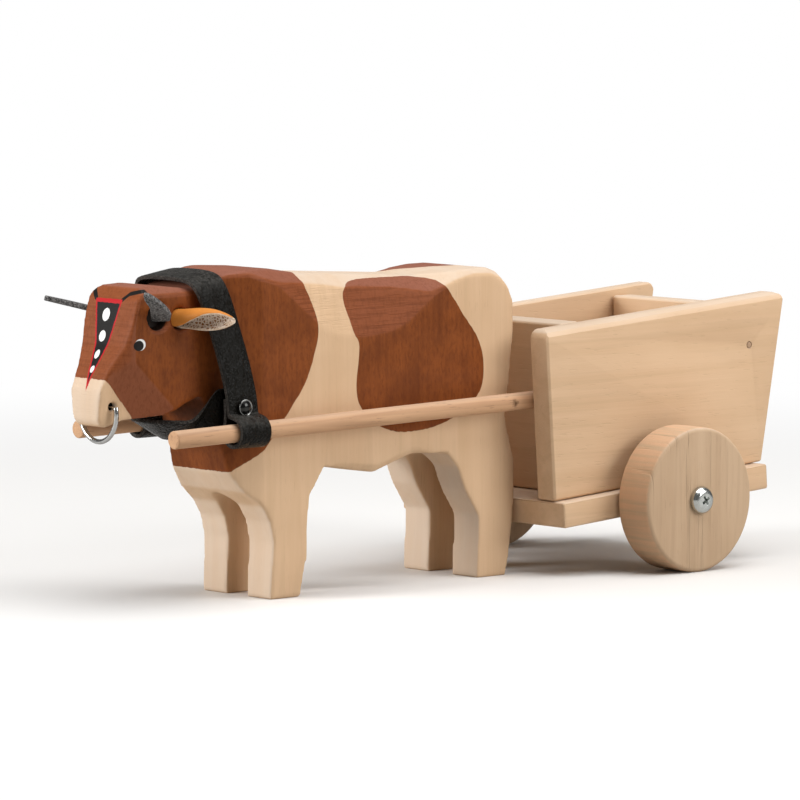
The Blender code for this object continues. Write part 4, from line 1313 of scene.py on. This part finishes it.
@dataclass
class Cart:
    """The tip cart: boards, shafts, wheels, screws and pins."""

    board_edge: float = 0.00045
    shaft_radius: float = 0.0030
    shaft_chamfer: float = 0.0005
    wheel_edge: float = 0.0016
    bore: float = 0.0023
    clearance: float = 0.0003
    screw_crown: float = 0.88
    recess_turn: float = math.radians(32.0)
    recess_width: float = 0.0014
    recess_taper: float = 0.35
    knot_inset: float = 0.0060
    knot: Triple = (0.10, 0.045, 0.020)

    def boards(self) -> None:
        """Sand the boards of the load box and show the grain along each."""
        # The boards' tops get the wood's painted sheen
        plain = WoodFinish("panel_maple", turn=(0.0, math.radians(-4.0), 0.0)).material()
        cross = WoodFinish("cross_board_maple", grain=Grain.ACROSS).material()
        for node, name, finish, body in (
                ("cart_floor", "floor_board", plain, "cart"),
                ("panel_left", "side_panel_left", plain, "cart"),
                ("panel_right", "side_panel_right", plain, "cart"),
                ("headboard", "head_board", cross, "cart"),
                ("tailboard", "tail_board", cross, "tailboard")):
            board = Bench.copy_node(node, name)
            Bench.round_off(board, self.board_edge, 3, 20.0)
            hand_over(board, body, node, 30.0, finish)

    def shafts(self) -> None:
        """Turn the two dowels and chamfer their ends."""
        finish = self.dowel_finish()
        reach = self.shaft_radius
        for side in Side:
            low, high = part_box("shaft_" + side.word)
            y = (low.y + high.y) / 2
            rear = Vector((low.x + reach * 0.02, y, high.z - reach))
            front = Vector((high.x - reach * 0.02, y, low.z + reach))
            line = front - rear
            shaft = Bench.cylinder("shaft_dowel_" + side.word, 64, reach, line.length, (rear + front) / 2,
                                   line.to_track_quat("Z", "Y").to_euler())
            with Bench.editing(shaft):
                Bench.pick("EDGE", lambda _, way: abs(way.dot(line.normalized())) < 0.5)
                bpy.ops.mesh.bevel(offset=self.shaft_chamfer, segments=3)
            hand_over(shaft, "cart", "shaft_" + side.word, 40.0, finish)

    def dowel_finish(self) -> bpy.types.Material:
        """Beech dowel with short dark flecks and one small knot.

        Returns:
            The material.
        """
        # Painted sheen where the dowels face up
        wood = WoodFinish("beech_dowel", (0.62, 0.375, 0.215), (0.47, 0.26, 0.14), lines=0.5, pores=0.6,
                          painted_sheen_up=0.3, relief=0.00012)
        graph = Graph(wood.name)
        colour, height, rough = wood.fibres(graph)
        x, y, z = graph.axes(graph.place())
        low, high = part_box("shaft_left")
        knot_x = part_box("panel_left")[1].x + self.knot_inset
        share = (knot_x - low.x) / (high.x - low.x)
        knot_z = high.z + (low.z - high.z) * share + self.shaft_radius * (2.0 * share - 1.0)
        away = ((x - knot_x) * (x - knot_x) + (z - knot_z) * (z - knot_z)) ** 0.5
        away = away + (graph.noise(graph.place(), 620.0, 3.0, 0.7) - 0.5) * 0.0030
        smudge = (away.fade(0.0017, 0.0007) * 0.55 + away.fade(0.0008, 0.0002) * 0.35) * y.fade(0.024, 0.026)
        return graph.finish(graph.mix(smudge, colour, self.knot), rough, wood.gloss,
                            normal=graph.bump(height, wood.relief))

    def wheels(self) -> None:
        """Cut the wheels: rims eased, a bore through each."""
        finish = SawnFinish("wheel_beech", (0.56, 0.395, 0.255), (0.46, 0.31, 0.19), Grain.UPRIGHT).material()
        for side in Side:
            low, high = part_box("wheel_" + side.word)
            radius = (high.z - low.z) / 2
            wheel = Bench.cylinder("wheel_disc_" + side.word, 144, radius, high.y - low.y, (low + high) / 2,
                                   (math.pi / 2, 0.0, 0.0))
            with Bench.editing(wheel):
                Bench.pick("EDGE", lambda _, way: abs(way.y) < 0.5)
                bpy.ops.mesh.bevel(offset=self.wheel_edge, segments=5)
                Bench.pick("FACE", lambda _, normal: abs(normal.y) > 0.999)
                bpy.ops.mesh.inset(thickness=radius - self.wheel_edge - self.bore)
                bpy.ops.mesh.delete(type="FACE")
                bpy.ops.mesh.select_mode(type="EDGE")
                bpy.ops.mesh.select_all(action="DESELECT")
                bpy.ops.mesh.select_non_manifold()
                bpy.ops.mesh.bridge_edge_loops()
            hand_over(wheel, "wheel_" + side.word, "wheel_" + side.word, 40.0, finish)

    def screws(self) -> None:
        """Pan-head screws with a cross recess."""
        zinc = SteelFinish("zinc_screw_steel", (0.56, 0.58, 0.56), 0.20).material()
        for side in Side:
            inner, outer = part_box("screw_" + side.word)[::int(side.value)]
            radius = abs(outer.z - inner.z) / 2
            x, z = (inner.x + outer.x) / 2, (inner.z + outer.z) / 2
            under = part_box("wheel_" + side.word)[::int(side.value)][1].y + self.clearance * side.value
            head = abs(outer.y - under)
            screw = Bench.cylinder("pan_screw_" + side.word, 64, radius, head, (x, (under + outer.y) / 2, z),
                                   (math.pi / 2, 0.0, 0.0))
            with Bench.editing(screw):
                Bench.pick("EDGE", lambda where, way: abs(way.y) < 0.5 and abs(where.y - outer.y) < MERGE)
                bpy.ops.mesh.bevel(offset=head * self.screw_crown, segments=8)
                Bench.pick("FACE", lambda where, way: abs(way.y) > 0.999 and abs(where.y - under) < MERGE)
                bpy.ops.mesh.inset(thickness=radius - (self.bore - self.clearance))
                bpy.ops.mesh.extrude_region_move(
                    TRANSFORM_OT_translate={"value": (0.0, inner.y - under, 0.0)})
            size = (radius * 1.1, head * 1.2, self.recess_width)
            for turn in (self.recess_turn, self.recess_turn + math.pi / 2):
                wedge = self.wedge(Vector((x, outer.y, z)), size, turn, side)
                Bench.apply(screw, "BOOLEAN", operation="DIFFERENCE", solver="EXACT", object=wedge)
                bpy.data.objects.remove(wedge, do_unlink=True)
            hand_over(screw, "cart", "screw_" + side.word, 40.0, zinc)

    def wedge(self, face: Vector, size: Triple, turn: float, side: Side) -> bpy.types.Object:
        """A cutter for one slot of the cross recess, narrower towards its bottom.

        Args:
            face: The middle of the screw's face.
            size: The wedge's length, depth and width.
            turn: Turn of the slot.
            side: The side of the cart.

        Returns:
            The cutter.
        """
        wedge = Bench.primitive("recess_wedge", bpy.ops.mesh.primitive_cube_add, size=1.0, location=face)
        wedge.scale = size
        wedge.rotation_euler = (0.0, turn, 0.0)
        bpy.ops.object.transform_apply(location=True, rotation=True, scale=True)
        with Bench.editing(wedge):
            Bench.pick("FACE", lambda _, normal: normal.y * side.value < -0.9)
            bpy.ops.transform.resize(value=(self.recess_taper, 1.0, self.recess_taper), center_override=face)
        return wedge

    def pins(self) -> None:
        """Leave the tailboard's pins as the CAD has them, their heads smeared with wood filler."""
        filler = FibreFinish("filled_pin_head", (0.47, 0.32, 0.21), (0.38, 0.25, 0.16),
                             900.0, 0.00005).material()
        for side in Side:
            node = frame["nodes"]["tailboard_pin_" + side.word]
            for place in node.material_slots:
                place.material = filler
            LOG.info("%s keeps its CAD shape", node.name)

    def build(self) -> None:
        """Make every piece of the cart."""
        self.boards()
        self.shafts()
        self.wheels()
        self.screws()
        self.pins()


@dataclass(frozen=True)
class Lamp:
    """A square soft lamp that faces the toy: its place, size and power."""

    name: str
    where: Triple
    size: float
    power: float


@dataclass
class Studio:
    """Floor, light and camera."""

    yaw: float = math.radians(41.80)
    pitch: float = math.radians(5.28)
    distance: float = 2.04303
    focus: Triple = (0.00639, 0.00125, 0.06099)
    lens: float = 270.0
    sensor: float = 36.0
    sight: float = 100.0
    floor_size: float = 30.0
    paper: Triple = (0.80, 0.79, 0.775)
    paper_bounce: Triple = (0.50, 0.49, 0.475)
    bare_from: float = 0.22
    bare_to: float = 0.75
    lamps: tuple[Lamp, ...] = (Lamp("overhead_lamp", (-0.12, 0.35, 1.55), 1.5, 27.5),
                               Lamp("front_lamp", (1.38, -0.62, 0.55), 0.7, 22.0),
                               Lamp("side_lamp", (-0.75, 1.35, 0.75), 0.9, 15.3))
    lamp_aim: Triple = (0.0, 0.0, 0.05)
    sky: float = 0.13
    mirror_sky: float = 0.15

    def camera(self) -> None:
        """Stand the camera where the photograph was taken."""
        right = Vector((-math.cos(self.yaw), math.sin(self.yaw), 0.0))
        level = Vector((-math.sin(self.yaw), -math.cos(self.yaw), 0.0))
        look = level * math.cos(self.pitch) - Vector((0.0, 0.0, math.sin(self.pitch)))
        up = right.cross(look)
        data = bpy.data.cameras.new("photo_camera")
        data.lens, data.sensor_width, data.clip_end = self.lens, self.sensor, self.sight
        camera = bpy.data.objects.new("photo_camera", data)
        camera.matrix_world = (Matrix.Translation(Vector(self.focus) - look * self.distance)
                               @ Matrix((right, up, -look)).transposed().to_4x4())
        bpy.context.scene.collection.objects.link(camera)
        bpy.context.scene.camera = camera

    def hang_lamps(self) -> None:
        """Hang the lamps and turn them to the toy."""
        for lamp in self.lamps:
            data = bpy.data.lights.new(lamp.name, "AREA")
            data.size, data.energy = lamp.size, lamp.power
            hung = bpy.data.objects.new(lamp.name, data)
            hung.location = lamp.where
            aim = Vector(self.lamp_aim) - Vector(lamp.where)
            hung.rotation_euler = aim.to_track_quat("-Z", "Y").to_euler()
            bpy.context.scene.collection.objects.link(hung)

    def sky_light(self) -> None:
        """White surroundings: even light on the toy, plain white to the camera and dimmer white in
        reflections.
        """
        world = bpy.data.worlds.new("white_studio")
        world.use_nodes = True
        bpy.context.scene.world = world
        nodes, link = world.node_tree.nodes, world.node_tree.links.new
        back = nodes["Background"]
        back.inputs["Color"].default_value = (1.0, 1.0, 1.0, 1.0)
        rays = nodes.new("ShaderNodeLightPath")
        mirrored, level = nodes.new("ShaderNodeMapRange"), nodes.new("ShaderNodeMapRange")
        link(rays.outputs["Is Glossy Ray"], mirrored.inputs[0])
        mirrored.inputs[3].default_value = self.sky
        mirrored.inputs[4].default_value = self.mirror_sky
        link(rays.outputs["Is Camera Ray"], level.inputs[0])
        link(mirrored.outputs[0], level.inputs[3])
        level.inputs[4].default_value = 1.0
        link(level.outputs[0], back.inputs["Strength"])

    def floor(self) -> None:
        """Pale floor that goes to plain white away from the toy."""
        floor = Bench.primitive("studio_floor", bpy.ops.mesh.primitive_plane_add, size=self.floor_size)
        graph = Graph("pale_floor")
        x, y, _ = graph.axes(graph.place())
        seen = Signal(graph, graph.node("ShaderNodeLightPath", {}, {}).outputs["Is Camera Ray"])
        bare = ((x * x + y * y) ** 0.5).fade(self.bare_from, self.bare_to) * seen
        graph.finish(graph.mix(seen, self.paper_bounce, self.paper), 0.6, 0.4)
        white = graph.node("ShaderNodeEmission", {}, {"Color": (1.0, 1.0, 1.0), "Strength": 1.0})
        blend = graph.node("ShaderNodeMixShader", {},
                           {0: bare, 1: graph.shader.outputs[0], 2: white.outputs[0]})
        graph.feed(graph.tree.nodes["Material Output"].inputs["Surface"], blend.outputs[0])
        dress(floor, graph.material)

    def build(self) -> None:
        """Set up the studio."""
        self.camera()
        self.sky_light()
        self.floor()
        self.hang_lamps()
        bpy.context.scene.view_settings.view_transform = "Standard"


def main() -> None:
    """Build the toy and its studio."""
    logging.basicConfig(level=logging.INFO, format="%(name)s: %(message)s")
    Studio().build()
    Bullock().build()
    Harness().build()
    Cart().build()


if __name__ == "__main__":
    main()
